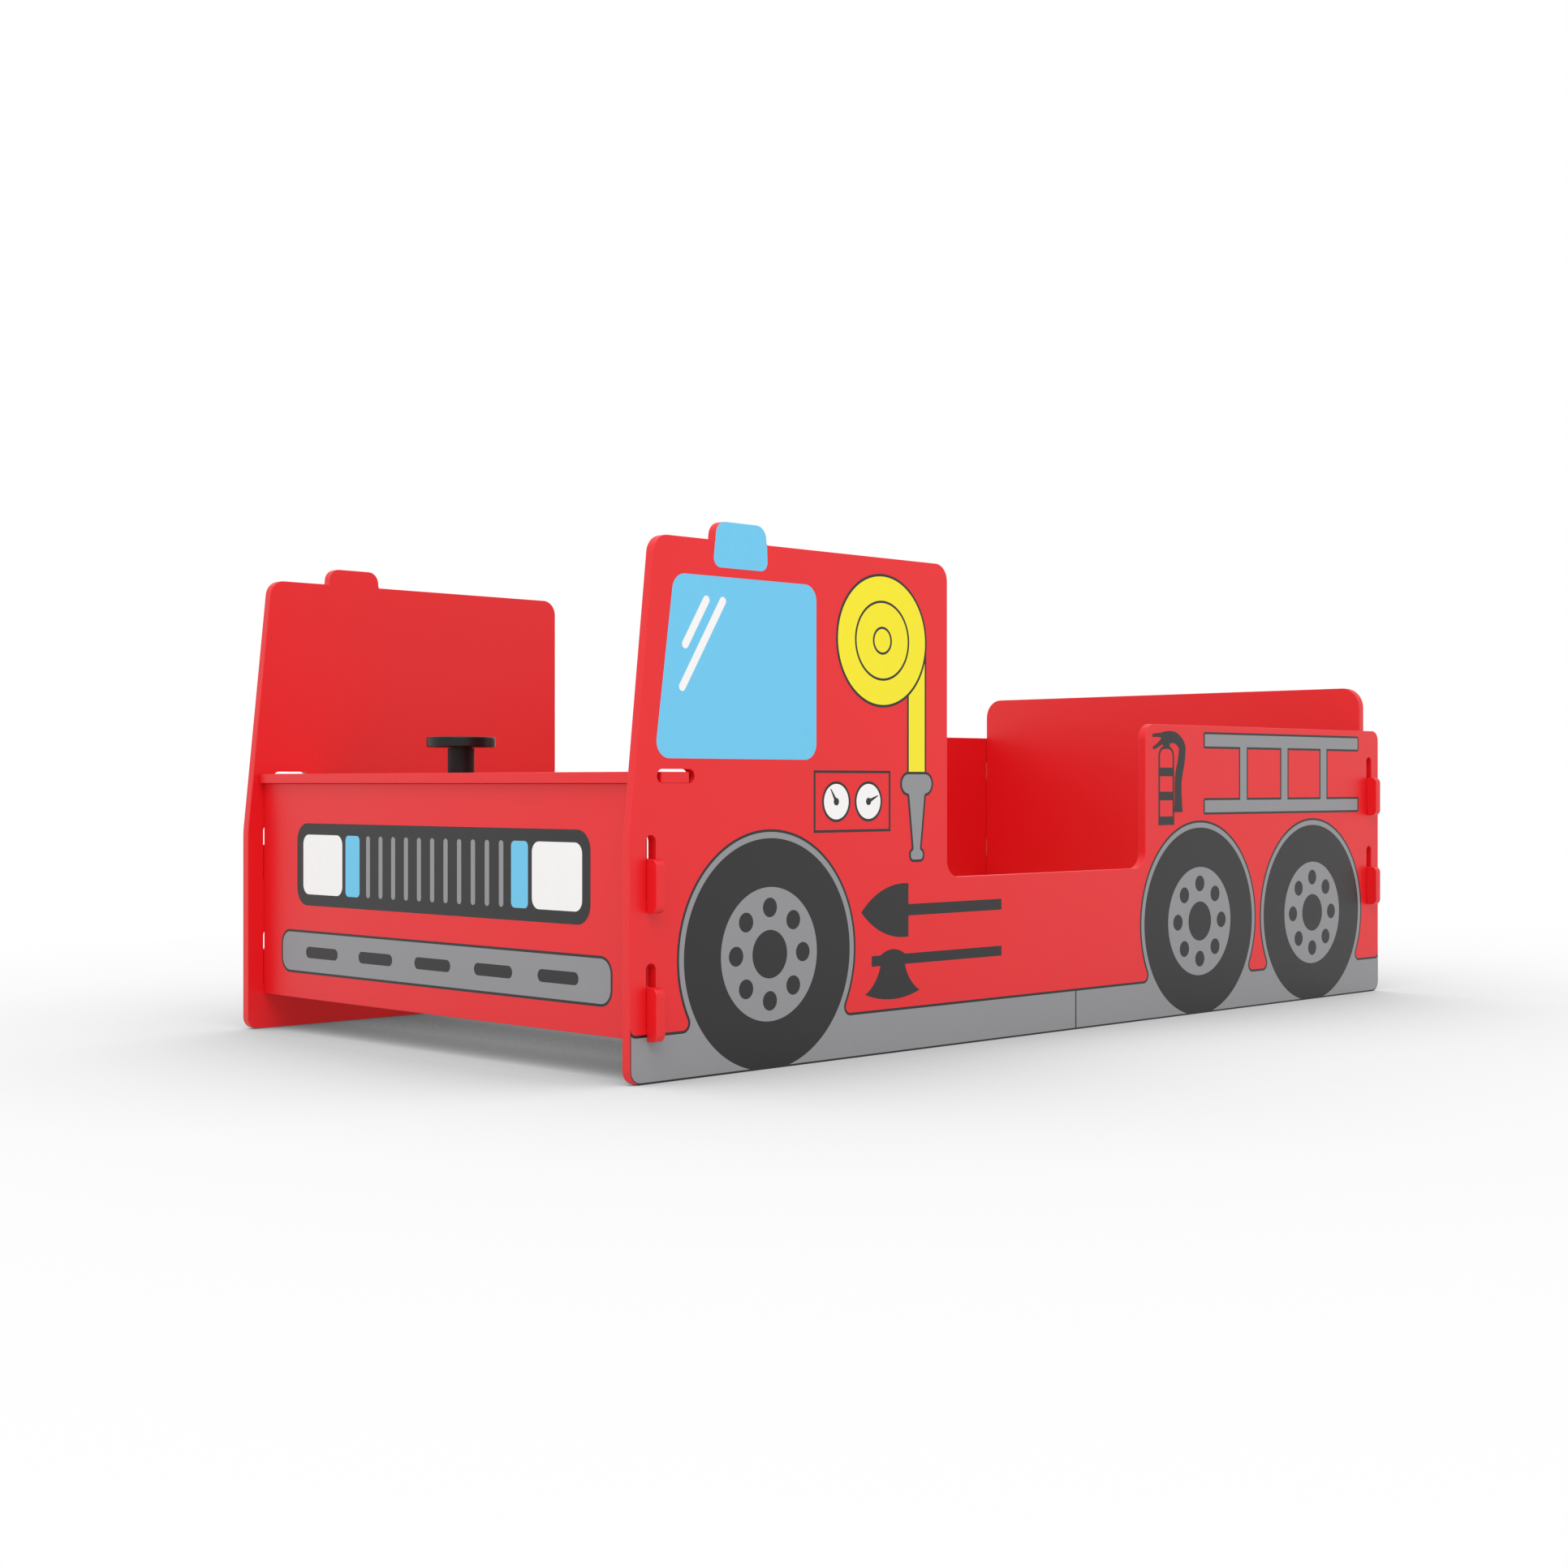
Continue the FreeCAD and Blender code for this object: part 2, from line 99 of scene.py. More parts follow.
# The extinguisher's valve as (back, height) corners, its hose and levers as (back, height, width) stations
VALVE = (
    (0.929, 0.372), (0.932, 0.366), (0.935, 0.359), (0.949, 0.359), (0.949, 0.365),
    (0.955, 0.366), (0.957, 0.381), (0.947, 0.3815), (0.936, 0.3805), (0.931, 0.379),
)
BOTTLE_HOSE = (
    (0.951, 0.373, 0.0160), (0.961, 0.3725, 0.0153), (0.971, 0.3675, 0.0145), (0.9772, 0.3605, 0.0145),
    (0.9769, 0.352, 0.0152), (0.9750, 0.341, 0.0158), (0.9711, 0.328, 0.0162), (0.9683, 0.315, 0.0156),
    (0.9681, 0.300, 0.0153), (0.9684, 0.288, 0.0165), (0.9685, 0.273, 0.0195),
)
UPPER_LEVER = (
    (0.9098, 0.3744, 0.0040), (0.9145, 0.3754, 0.0048), (0.922, 0.3756, 0.0054), (0.936, 0.376, 0.0075),
)
LOWER_LEVER = ((0.9113, 0.3580, 0.0042), (0.922, 0.3624, 0.0056), (0.934, 0.3685, 0.0085))

# Finishes: the noise that clouds tone and gloss, and the relief of the surface
LACQUER = dict(
    scale=5.0, detail=3.0, tint=(0.965, 1.03), swing=0.10, peel=420.0, depth=0.00004, strength=0.25)
INK = dict(LACQUER, scale=90.0, detail=4.0, rough=0.6, tint=(0.97, 1.025), swing=0.08)
PLATING = dict(scale=260.0, detail=3.0, tint=(0.85, 1.0), swing=0.20, depth=0.00005, strength=0.2)
PLASTIC = dict(scale=900.0, detail=2.0, tint=(0.92, 1.0), swing=0.10, depth=0.00005, strength=0.3)

# Gloss of each coat: the roughness that the noise swings about, and the sockets that are the same all over
SATIN = dict(roughness=0.42, ior=1.5)
WHEEL_GLOSS = dict(roughness=0.36, ior=1.36)
COLUMN_GLOSS = dict(roughness=0.56, ior=1.36)
CAP_GLOSS = dict(roughness=0.30, ior=1.5)
WASHER_GLOSS = dict(roughness=0.45, ior=1.5)
METAL_GLOSS = dict(roughness=0.36, metallic=1.0)

# Pine: each noise's stretch along and across the grain, its detail and its roughness
RING_NOISE = (1.1, 9.0, 2.0, 0.5)
FIBRE_NOISE = (9.0, 520.0, 3.0, 0.6)

# Pine: bands in the rings' noise and their sharpness, the shares of rings and fibres, relief and gloss
RING_BANDS = 11.0
RING_EDGE = 2.2
RING_SHARE = 0.75
FIBRE_SHARE = 0.35
FIBRE_LEVEL = 0.35
FIBRE_DEPTH = 0.0002
FIBRE_STRENGTH = 0.35
PINE_ROUGHNESS = 0.56
PINE_SWING = 0.16
PINE_IOR = 1.46

# Stage: full white, rays that measure how open the floor is, and the camera's sensor in millimetres
WHITE = (1.0, 1.0, 1.0, 1.0)
FLOOR_RAYS = 24
SENSOR_WIDTH = 36.0


# Properties

def length(label, words, default):
    return FloatProperty(name=label, description=words, default=default, unit="LENGTH", precision=5)


def lengths(label, words, *default):
    """Several lengths in one, such as a point's (back, height) or a shape's lower and upper edge."""
    return FloatVectorProperty(
        name=label, description=words, default=default, size=len(default), unit="LENGTH", precision=5)


def share(label, words, default):
    return FloatProperty(name=label, description=words, default=default, min=0.0, max=1.0, subtype="FACTOR")


def angle(label, words, degrees):
    return FloatProperty(
        name=label, description=words, default=math.radians(degrees), subtype="ANGLE", unit="ROTATION")


def number(label, words, default, least):
    return IntProperty(name=label, description=words, default=default, min=least)


def colour(label, words, red, green, blue):
    """A colour given by its screen values from 0 to 255, kept as light by the sRGB curve."""
    screen = np.array([red, green, blue]) / 255
    light = np.where(screen <= 0.04045, screen / 12.92, ((screen + 0.055) / 1.055) ** 2.4)
    return FloatVectorProperty(
        name=label, description=words, default=light.tolist(), size=3, min=0.0, max=1.0, subtype="COLOR")


class BED_PG_colours(bpy.types.PropertyGroup):
    red: colour("Red", "Lacquer on the boards", 230, 17, 26)
    charcoal: colour("Charcoal", "Ink of tyres, tools and lines", 22, 19, 20)
    grey: colour("Grey", "Ink of rims, chassis and ladder", 142, 142, 145)
    blue: colour("Blue", "Ink of window and beacon", 106, 197, 235)
    yellow: colour("Yellow", "Ink of the hose", 246, 230, 14)
    white: colour("White", "Ink of shines, dials and lamps", 246, 244, 243)
    black: colour("Black", "Lacquer on the steering wheel and its column", 20, 18, 18)
    pine_light: colour("Pine, early wood", "Pale part of the pine's grain", 226, 190, 140)
    pine_dark: colour("Pine, late wood", "Dark part of the pine's grain", 193, 142, 86)
    zinc: colour("Zinc", "Plating on screws, bolt and nut", 200, 203, 208)
    nylon: colour("Nylon", "Slip washer", 24, 24, 25)


class BED_PG_print(bpy.types.PropertyGroup):
    film: length("Film", "Thickness of one layer of ink", 0.00005)
    line: length("Line", "Width of the dark outlines", 0.0030)
    rim: length("Board rim", "Rounding of the boards' rims", 0.0010)
    wrap: angle("Wrap", "How far ink runs over a rounded rim", 60)


class BED_PG_chassis(bpy.types.PropertyGroup):
    height: length("Chassis", "Height of the grey band along the floor", 0.0485)
    corner: length("Corner", "Rounding of the side panels' floor corners", 0.015)
    joint: length("Joint", "Where the dark upright line crosses the band", 0.745)
    joint_line: length("Joint line", "Width of that upright line", 0.00228)
    axles: lengths("Axles", "Back of each wheel's centre, from the front wheel on", 0.2017, 1.0183, 1.3012)
    axle_height: length("Axle height", "Height of the wheels' centres", 0.125)
    arch: length("Arch", "Radius of the grey wheel arches", 0.1334)
    foot: length("Foot", "Rounding where an arch meets the band", 0.0105)
    end: length("End", "Rounding where the band meets the board's front and rear rims", 0.0110)
    tyre: length("Tyre", "Radius of a tyre", 0.1266)
    wheel: length("Wheel", "Radius of a wheel's grey disc", 0.0733)
    hub: length("Hub", "Radius of a hub", 0.0265)
    lug: length("Lug", "Radius of a lug hole", 0.0107)
    lug_circle: length("Lug circle", "Radius on which the lug holes lie", 0.051)
    lugs: number("Lugs", "Lug holes in a wheel", 8, 3)


class BED_PG_cab(bpy.types.PropertyGroup):
    beacon_bottom: length("Beacon bottom", "Height of the beacon's lower edge", 0.542)
    beacon_shoulder: length("Roof line", "Height of the roof that the beacon stands on", 0.571)
    beacon_middle: length("Beacon middle", "Back of the beacon's middle", 0.1588)
    beacon_width: length("Beacon width", "Width of the beacon at the roof line", 0.0775)
    beacon_lean: share("Beacon lean", "Lean of the beacon's sides, as width per height", 0.10)
    beacon_corner: length("Beacon corner", "Rounding of the beacon's top corners", 0.015)
    beacon_feet: lengths("Beacon feet", "Backs of the beacon's bottom corners", 0.1170, 0.1984)
    beacon_foot: length("Beacon foot", "Rounding of the beacon's bottom corners", 0.010)
    window_low: lengths("Window low", "Front lower corner of the window", 0.0341, 0.3376)
    window_high: lengths("Window high", "Front upper corner of the window", 0.0611, 0.5321)
    window_rear: length("Window rear", "Back of the window's rear edge", 0.2744)
    window_corner: length("Window corner", "Rounding of the window's corners", 0.018)
    shine: length("Shine", "Radius of the white streaks on the window", 0.0047)
    long_shine_top: lengths("Long streak top", "Upper end of the long streak", 0.1312, 0.506)
    long_shine_foot: lengths("Long streak foot", "Lower end of the long streak", 0.0729, 0.413)
    short_shine_top: lengths("Short streak top", "Upper end of the short streak", 0.1072, 0.506)
    short_shine_foot: lengths("Short streak foot", "Lower end of the short streak", 0.0772, 0.458)


class BED_PG_hose(bpy.types.PropertyGroup):
    reel: lengths("Reel", "Centre of the hose reel", 0.383, 0.4755)
    reel_radius: length("Reel radius", "Radius of the rolled hose", 0.0738)
    turns: lengths("Turns", "Radii of the two lines on the roll", 0.0447, 0.0148)
    turn_line: length("Turn line", "Width of the lines on the roll", 0.0027)
    strap_width: length("Hose width", "Width of the hanging hose", 0.0277)
    nozzle: lengths("Nozzle", "Middle of the nozzle's collar, at its top", 0.4424, 0.322)
    collar_width: length("Collar width", "Width of the nozzle's collar", 0.0516)
    collar_height: length("Collar height", "Height of the nozzle's collar", 0.023)
    throat: length("Throat", "Width of the nozzle below its collar", 0.0266)
    muzzle: length("Muzzle", "Width of the nozzle above its tip", 0.0107)
    barrel: length("Barrel", "Height of the nozzle between collar and tip", 0.065)
    tip_width: length("Tip width", "Width of the nozzle's tip", 0.0207)
    tip_height: length("Tip height", "Height of the nozzle's tip", 0.0115)
    tip_round: length("Tip rounding", "Rounding of the tip's lower corners", 0.0046)
    tip_shoulder: length("Tip shoulder", "Rounding of the tip's upper corners", 0.0038)
    tip_slope: length("Tip slope", "Drop of the tip's top to its corners", 0.0026)
    collar_low: length("Collar low", "Rounding of the collar's lower corners", 0.0110)
    collar_slope: length("Collar slope", "Rise of the collar's underside to its corners", 0.0032)
    collar_high: length("Collar high", "Rounding of the collar's upper corners", 0.0110)
    hollow: length("Hollow", "Rounding of the nozzle's inner corners, wider than a line", 0.0034)


class BED_PG_gauges(bpy.types.PropertyGroup):
    frame_line: length("Frame line", "Width of the line round the gauges", 0.0030)
    box_low: lengths("Box low", "Front lower corner of the gauges' frame", 0.2701, 0.2561)
    box_high: lengths("Box high", "Rear upper corner of the gauges' frame", 0.3969, 0.3260)
    dials: lengths("Dials", "Backs of the two dials' centres", 0.3066, 0.3597)
    dial_height: length("Dial height", "Height of the dials' centres", 0.2908)
    dial: length("Dial", "Radius of a dial's white face", 0.0200)
    dial_line: length("Dial line", "Width of the line round a dial", 0.0031)
    boss: length("Boss", "Radius of a needle's boss", 0.0043)
    needle: length("Needle", "Length of a needle", 0.0172)
    needle_base: length("Needle base", "Width of a needle at its boss", 0.0038)
    needle_tip: length("Needle tip", "Width of a needle at its tip", 0.0012)
    first_turn: angle("First needle", "Direction of the first dial's needle", 122.5)
    second_turn: angle("Second needle", "Direction of the second dial's needle", 22.5)


class BED_PG_tools(bpy.types.PropertyGroup):
    handle_rear: length("Handles' end", "Back of the tools' handle ends", 0.5976)
    shovel_handle: length("Shovel handle", "Width of the shovel's handle", 0.0133)
    axe_handle: length("Axe handle", "Width of the axe's handle", 0.0121)
    shovel_tip: lengths("Shovel tip", "Point of the shovel", 0.3476, 0.1642)
    blade_length: length("Blade length", "Length of the shovel's blade", 0.0804)
    blade_width: length("Blade width", "Width of the shovel's blade", 0.062)
    blade_bulge: length("Blade bulge", "Rise of the blade's curved edges", 0.0098)
    axe_butt: lengths("Axe butt", "Front lower corner of the axe's handle", 0.365, 0.1015)
    axe_neck: length("Axe neck", "Width of the axe head at the handle", 0.042)
    axe_middle: length("Axe middle", "Back of the axe head's middle", 0.4008)
    axe_edge_width: length("Edge width", "Width of the axe's cutting edge", 0.0935)
    axe_drop: length("Axe drop", "From the handle down to the edge's corners", 0.0315)
    axe_hump: length("Axe hump", "Rise of the axe's poll above the handle", 0.0063)
    axe_sweep: length("Axe sweep", "Hollow of the axe head's sides", 0.0043)
    axe_belly: length("Axe belly", "Bulge of the cutting edge", 0.008)


class BED_PG_tail(bpy.types.PropertyGroup):
    bottle_front: length("Bottle front", "Back of the extinguisher's front edge", 0.923)
    bottle_width: length("Bottle width", "Width of the extinguisher", 0.036)
    bottle_bottom: length("Bottle bottom", "Height of the extinguisher's foot", 0.256)
    bottle_top: length("Bottle top", "Height of the extinguisher's shoulder top", 0.3612)
    bottle_corner: length("Bottle shoulder", "Rounding of the extinguisher's shoulders", 0.014)
    bottle_line: length("Bottle line", "Width of the extinguisher's outline", 0.0038)
    band: length("Band", "Height of a band round the extinguisher, its foot's included", 0.0115)
    bands: lengths("Bands", "Heights of the two upper bands' lower edges", 0.289, 0.321)
    ladder_ends: lengths("Ladder ends", "Backs of the ladder's front and rear ends", 1.0304, 1.4265)
    ladder_edges: lengths("Ladder edges", "Heights of the ladder's underside and top", 0.272, 0.3785)
    ladder_rail: length("Ladder rail", "Width of a rail", 0.0166)
    ladder_rung: length("Ladder rung", "Width of a rung", 0.016)
    first_rung: length("First rung", "Back of the first rung's middle", 1.124)
    rung_pitch: length("Rung pitch", "From one rung to the next", 0.104)
    rungs: number("Rungs", "Rungs of the ladder", 3, 1)


class BED_PG_nose(bpy.types.PropertyGroup):
    grille_half: length("Grille half width", "Half the width of the grille panel", 0.285)
    grille_edges: lengths("Grille edges", "Heights of the grille panel's lower and upper edges", 0.160, 0.262)
    grille_corner: length("Grille corner", "Rounding of the grille panel", 0.022)
    margin: length("Margin", "Charcoal left round lamps and bars", 0.014)
    lamp_width: length("Lamp width", "Width of a headlamp", 0.086)
    lamp_corner: length("Lamp corner", "Rounding of a headlamp", 0.012)
    marker_width: length("Marker width", "Width of a blue marker lamp", 0.030)
    bar_width: length("Bar width", "Width of an upright grille bar", 0.008)
    bars: number("Bars", "Upright bars in the grille", 11, 2)
    bumper_half: length("Bumper half width", "Half the width of the bumper", 0.318)
    bumper_edges: lengths("Bumper edges", "Heights of the bumper's lower and upper edges", 0.078, 0.126)
    bumper_corner: length("Bumper corner", "Rounding of the bumper", 0.016)
    vent_width: length("Vent width", "Width of a slot in the bumper", 0.070)
    vent_height: length("Vent height", "Height of a slot in the bumper", 0.014)
    vent_pitch: length("Vent pitch", "From one slot to the next", 0.115)
    vents: number("Vents", "Slots in the bumper", 5, 1)


class BED_PG_stage(bpy.types.PropertyGroup):
    eye: lengths("Eye", "Where the camera stands", 2.074, -2.209, 0.3107)
    yaw: angle("Yaw", "Turn of the level camera about the upright", 45.16)
    lens: FloatProperty(name="Lens", description="Focal length of the camera", default=50.07, unit="CAMERA")
    floor_half: length("Floor", "Half the floor's width", 14.0)
    gap: length("Gap", "Distance of the floor below the bed", 0.0003)
    reach: length("Reach", "Distance from which the bed shades the floor", 1.6)
    bounce: share("Bounce", "Brightness of the floor where it sees none of the dome", 0.02)
    cast: share("Cast", "Light that the open floor gives the bed", 0.90)
    cast_bounce: share("Cast bounce", "Share of that light where the floor sees none of the dome", 0.42)
    dome: FloatProperty(
        name="Dome", description="Strength of the light from all round", default=0.80, min=0.0)
    key: FloatProperty(
        name="Key", description="Power of the large soft lamp", default=112.0, min=0.0, unit="POWER")
    key_size: length("Key size", "Width of the large soft lamp", 4.0)
    key_place: lengths("Key place", "Where the lamp hangs; it faces the bed's middle", 2.4, -2.6, 4.2)


class BED_PG_settings(bpy.types.PropertyGroup):
    colours: PointerProperty(type=BED_PG_colours)
    print: PointerProperty(type=BED_PG_print)
    chassis: PointerProperty(type=BED_PG_chassis)
    cab: PointerProperty(type=BED_PG_cab)
    hose: PointerProperty(type=BED_PG_hose)
    gauges: PointerProperty(type=BED_PG_gauges)
    tools: PointerProperty(type=BED_PG_tools)
    tail: PointerProperty(type=BED_PG_tail)
    nose: PointerProperty(type=BED_PG_nose)
    stage: PointerProperty(type=BED_PG_stage)


# Shader expressions

class Wire:
    """An output socket in a tree of nodes; arithmetic on it adds Math nodes."""

    def __init__(self, tree, socket):
        self.tree = tree
        self.socket = socket

    def math(self, operation, first, second=0.0):
        return self.tree.node("ShaderNodeMath", {"operation": operation}, {0: first, 1: second})

    def __add__(self, other):
        return self.math("ADD", self, other)

    def __radd__(self, other):
        return self.math("ADD", other, self)

    def __sub__(self, other):
        return self.math("SUBTRACT", self, other)

    def __rsub__(self, other):
        return self.math("SUBTRACT", other, self)

    def __mul__(self, other):
        return self.math("MULTIPLY", self, other)

    def __rmul__(self, other):
        return self.math("MULTIPLY", other, self)

    def __pow__(self, other):
        return self.math("POWER", self, other)

    def __rpow__(self, other):
        return self.math("POWER", other, self)


class Tree:
    """The nodes of a material or a world, whose sockets take numbers, colours or wires."""

    def __init__(self, owner):
        owner.use_nodes = True
        self.nodes = owner.node_tree.nodes
        self.links = owner.node_tree.links

    def feed(self, socket, value):
        if isinstance(value, Wire):
            self.links.new(value.socket, socket)
        else:
            socket.default_value = value

    def node(self, kind, settings=None, sockets=None, out=0):
        """Add a node of this kind, with its settings first and then its sockets, and give one output."""
        node = self.nodes.new(kind)
        for name, value in (settings or {}).items():
            setattr(node, name, value)
        for name, value in (sockets or {}).items():
            self.feed(node.inputs[name], value)
        return Wire(self, node.outputs[out])

    def seen(self):
        """1 for rays that show a surface directly, mirrored or through glass, 0 for those that only light."""
        camera, glossy, through = [
            self.node("ShaderNodeLightPath", out="Is %s Ray" % kind)
            for kind in ("Camera", "Glossy", "Transmission")]
        return camera.math("MAXIMUM", camera.math("MAXIMUM", camera, glossy), through)


class Paint(Tree):
    """A material with a Principled shader."""

    def __init__(self, name):
        self.material = bpy.data.materials.new(name)
        super().__init__(self.material)
        self.shader = self.nodes["Principled BSDF"]

    def spot(self, scale=(1.0, 1.0, 1.0)):
        """Object coordinates in metres, stretched by scale."""
        here = self.node("ShaderNodeTexCoord", out="Object")
        return self.node("ShaderNodeMapping", sockets={"Vector": here, "Scale": scale})

    def noise(self, where, scale, detail=2.0, rough=0.5):
        return self.node("ShaderNodeTexNoise", sockets={
            "Vector": where, "Scale": scale, "Detail": detail, "Roughness": rough})

    def mix(self, factor, first, second):
        """Colour mix of two light colours, by the sockets of a Mix node that are for colours."""
        return self.node("ShaderNodeMix", {"data_type": "RGBA"}, {
            0: factor, 6: (*first[:3], 1.0), 7: (*second[:3], 1.0)}, out=2)

    def clamp(self, value, low, high):
        return self.node("ShaderNodeClamp", sockets={"Value": value, "Min": low, "Max": high})

    def relief(self, height, distance, strength):
        """Bump of this height, times distance in metres."""
        bump = self.node("ShaderNodeBump", sockets={
            "Height": height, "Distance": distance, "Strength": strength})
        self.feed(self.shader.inputs["Normal"], bump)

    def set(self, **sockets):
        """Feed the Principled shader; base_color stands for Base Color and so on."""
        for name, value in sockets.items():
            title = {"ior": "IOR"}.get(name, name.replace("_", " ").title())
            self.feed(self.shader.inputs[title], value)


# Materials

def coat(name, tone, roughness, scale, detail, tint, swing, depth, strength, rough=0.5, peel=None, **even):
    """Lacquer, ink, plating or plastic. A noise takes the tone from one share of itself to the other and
    swings the roughness about its middle. That noise, or a finer one as peel, raises the surface.
    What is left over goes to sockets that are the same all over."""
    paint = Paint(name)
    clouds = paint.noise(paint.spot(), scale, detail, rough)
    grain = paint.noise(paint.spot(), peel) if peel else clouds
    thin, full = [tuple(channel * part for channel in tone) for part in tint]
    paint.set(base_color=paint.mix(clouds, thin, full), roughness=roughness + swing * (clouds - 0.5), **even)
    paint.relief(grain, depth, strength)
    return paint.material


def pine(name, light, dark, along):
    """Planed pine. Rings are a slow noise folded into bands and sharpened by a power, and fibres are a noise
    drawn out along the grain. Their weighted sum takes the colour from light to dark."""
    along = np.array(along)
    paint = Paint(name)
    slow, fibre = [
        paint.noise(paint.spot(tuple(lengthwise * along + crosswise * (1 - along))), 1.0, detail, rough)
        for lengthwise, crosswise, detail, rough in (RING_NOISE, FIBRE_NOISE)]
    rings = slow.math("PINGPONG", slow * RING_BANDS, 1.0) ** RING_EDGE
    figure = paint.clamp(RING_SHARE * rings + FIBRE_SHARE * (fibre - FIBRE_LEVEL), 0.0, 1.0)
    paint.set(
        base_color=paint.mix(figure, light, dark),
        roughness=PINE_ROUGHNESS + PINE_SWING * fibre,
        ior=PINE_IOR,
    )
    paint.relief(fibre, FIBRE_DEPTH, FIBRE_STRENGTH)
    return paint.material


def dress(nodes, material):
    """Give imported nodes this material."""
    for name in nodes:
        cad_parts[name].material_slots[0].material = material


# Outlines, as arrays of points that run anticlockwise

def unit(vectors):
    """Vectors divided by their lengths."""
    return vectors / np.linalg.norm(vectors, axis=-1, keepdims=True)


def arc(centre, radius, start, end, count=ARC_POINTS):
    """Points on a circle: centre plus radius times (cos, sin) of angles from start to end, in degrees."""
    turn = np.radians(np.linspace(start, end, count))
    return np.array(centre) + radius * np.column_stack([np.cos(turn), np.sin(turn)])


def circle(centre, radius, count=CIRCLE_POINTS, start=0):
    """An arc of a whole turn, without the last point, which is the first one again."""
    return arc(centre, radius, start, start + 360, count + 1)[:-1]


def bow(first, last, bulge):
    """Arc from first to last whose middle stands bulge to the left of the way.
    Half its opening is twice the arctangent of bulge over half the chord."""
    first, last = np.array(first), np.array(last)
    chord = np.linalg.norm(last - first)
    ahead = (last - first) / chord
    left = np.array([-ahead[1], ahead[0]])
    opening = 2 * math.atan2(2 * bulge, chord)
    radius = chord / 2 / math.sin(opening)
    turn = np.linspace(-opening, opening, ARC_POINTS)[:, None]
    middle = (first + last) / 2
    return middle + radius * (np.sin(turn) * ahead + (np.cos(turn) - math.cos(opening)) * left)


def rounded(corners, count=CORNER_POINTS):
    """Straight runs between (back, height, radius) corners, with an arc of that radius at each.
    An arc's two radii, to where it touches the runs, are blended by the sines of their angles."""
    corners = np.array(corners, float)
    points, radius = corners[:, :2], corners[:, 2:]
    before = unit(np.roll(points, 1, 0) - points)
    after = unit(np.roll(points, -1, 0) - points)
    half = np.arccos(np.sum(before * after, 1, keepdims=True)) / 2
    centre = points + unit(before + after) * radius / np.sin(half)
    reach = radius / np.tan(half)
    first = points + before * reach - centre
    last = points + after * reach - centre
    opening = (math.pi - 2 * half)[:, :, None]
    step = np.linspace(0.0, 1.0, count)[None, :, None]
    blend = np.sin((1 - step) * opening) * first[:, None] + np.sin(step * opening) * last[:, None]
    return (centre[:, None] + blend / np.sin(opening)).reshape(-1, 2)


def slab(low, high, radius):
    """Upright rectangle from its low to its high corner, rounded by radius."""
    return rounded([(*low, radius), (high[0], low[1], radius), (*high, radius), (low[0], high[1], radius)])


def post(middle, width, low, high, radius):
    """Upright rectangle with half its width on either side of a middle line, rounded by radius."""
    return slab((middle - width / 2, low), (middle + width / 2, high), radius)


def mirrored(middle, half):
    """Corners from (half width, height, radius): up the right of a middle line and down its left."""
    right = [(middle + out, height, radius) for out, height, radius in half]
    left = [(middle - out, height, radius) for out, height, radius in reversed(half)]
    return right + left


def capsule(first, last, radius):
    """Round-ended bar: half a circle round each of two centres, turned away from the other."""
    turn = math.degrees(math.atan2(last[1] - first[1], last[0] - first[0]))
    return np.concatenate([
        arc(last, radius, turn - 90, turn + 90), arc(first, radius, turn + 90, turn + 270)])


def grow(outline, distance):
    """Outline moved outwards. A point goes along its two edges' normals, added and scaled to the distance."""
    edge = unit(np.roll(outline, -1, 0) - outline)
    normal = np.column_stack([edge[:, 1], -edge[:, 0]])
    both = normal + np.roll(normal, 1, 0)
    return outline + distance * both * 2 / np.sum(both ** 2, 1, keepdims=True)


def curve(points):
    """Smooth line through points. A span is a cubic whose end slopes are half the neighbours' difference."""
    points = np.array(points, float)
    slopes = np.gradient(points, axis=0)
    t = np.linspace(0.0, 1.0, SPAN_POINTS, endpoint=False)[None, :, None]
    p, q = points[:-1, None], points[1:, None]
    m, n = slopes[:-1, None], slopes[1:, None]
    line = (2 * t ** 3 - 3 * t ** 2 + 1) * p + (t ** 3 - 2 * t ** 2 + t) * m
    line = line + (3 * t ** 2 - 2 * t ** 3) * q + (t ** 3 - t ** 2) * n
    return np.concatenate([line.reshape(-1, points.shape[1]), points[-1:]])


def brush(stations):
    """Stroke through (back, height, width) stations, half the width to either side of the smooth line."""
    line = curve(stations)
    ahead = unit(np.gradient(line[:, :2], axis=0))
    half = np.column_stack([-ahead[:, 1], ahead[:, 0]]) * line[:, 2:] / 2
    return np.concatenate([line[:, :2] - half, (line[:, :2] + half)[::-1]])


# Printed films

def stand(name, data):
    """Put a new object with this data into the scene."""
    item = bpy.data.objects.new(name, data)
    bpy.context.scene.collection.objects.link(item)
    return item


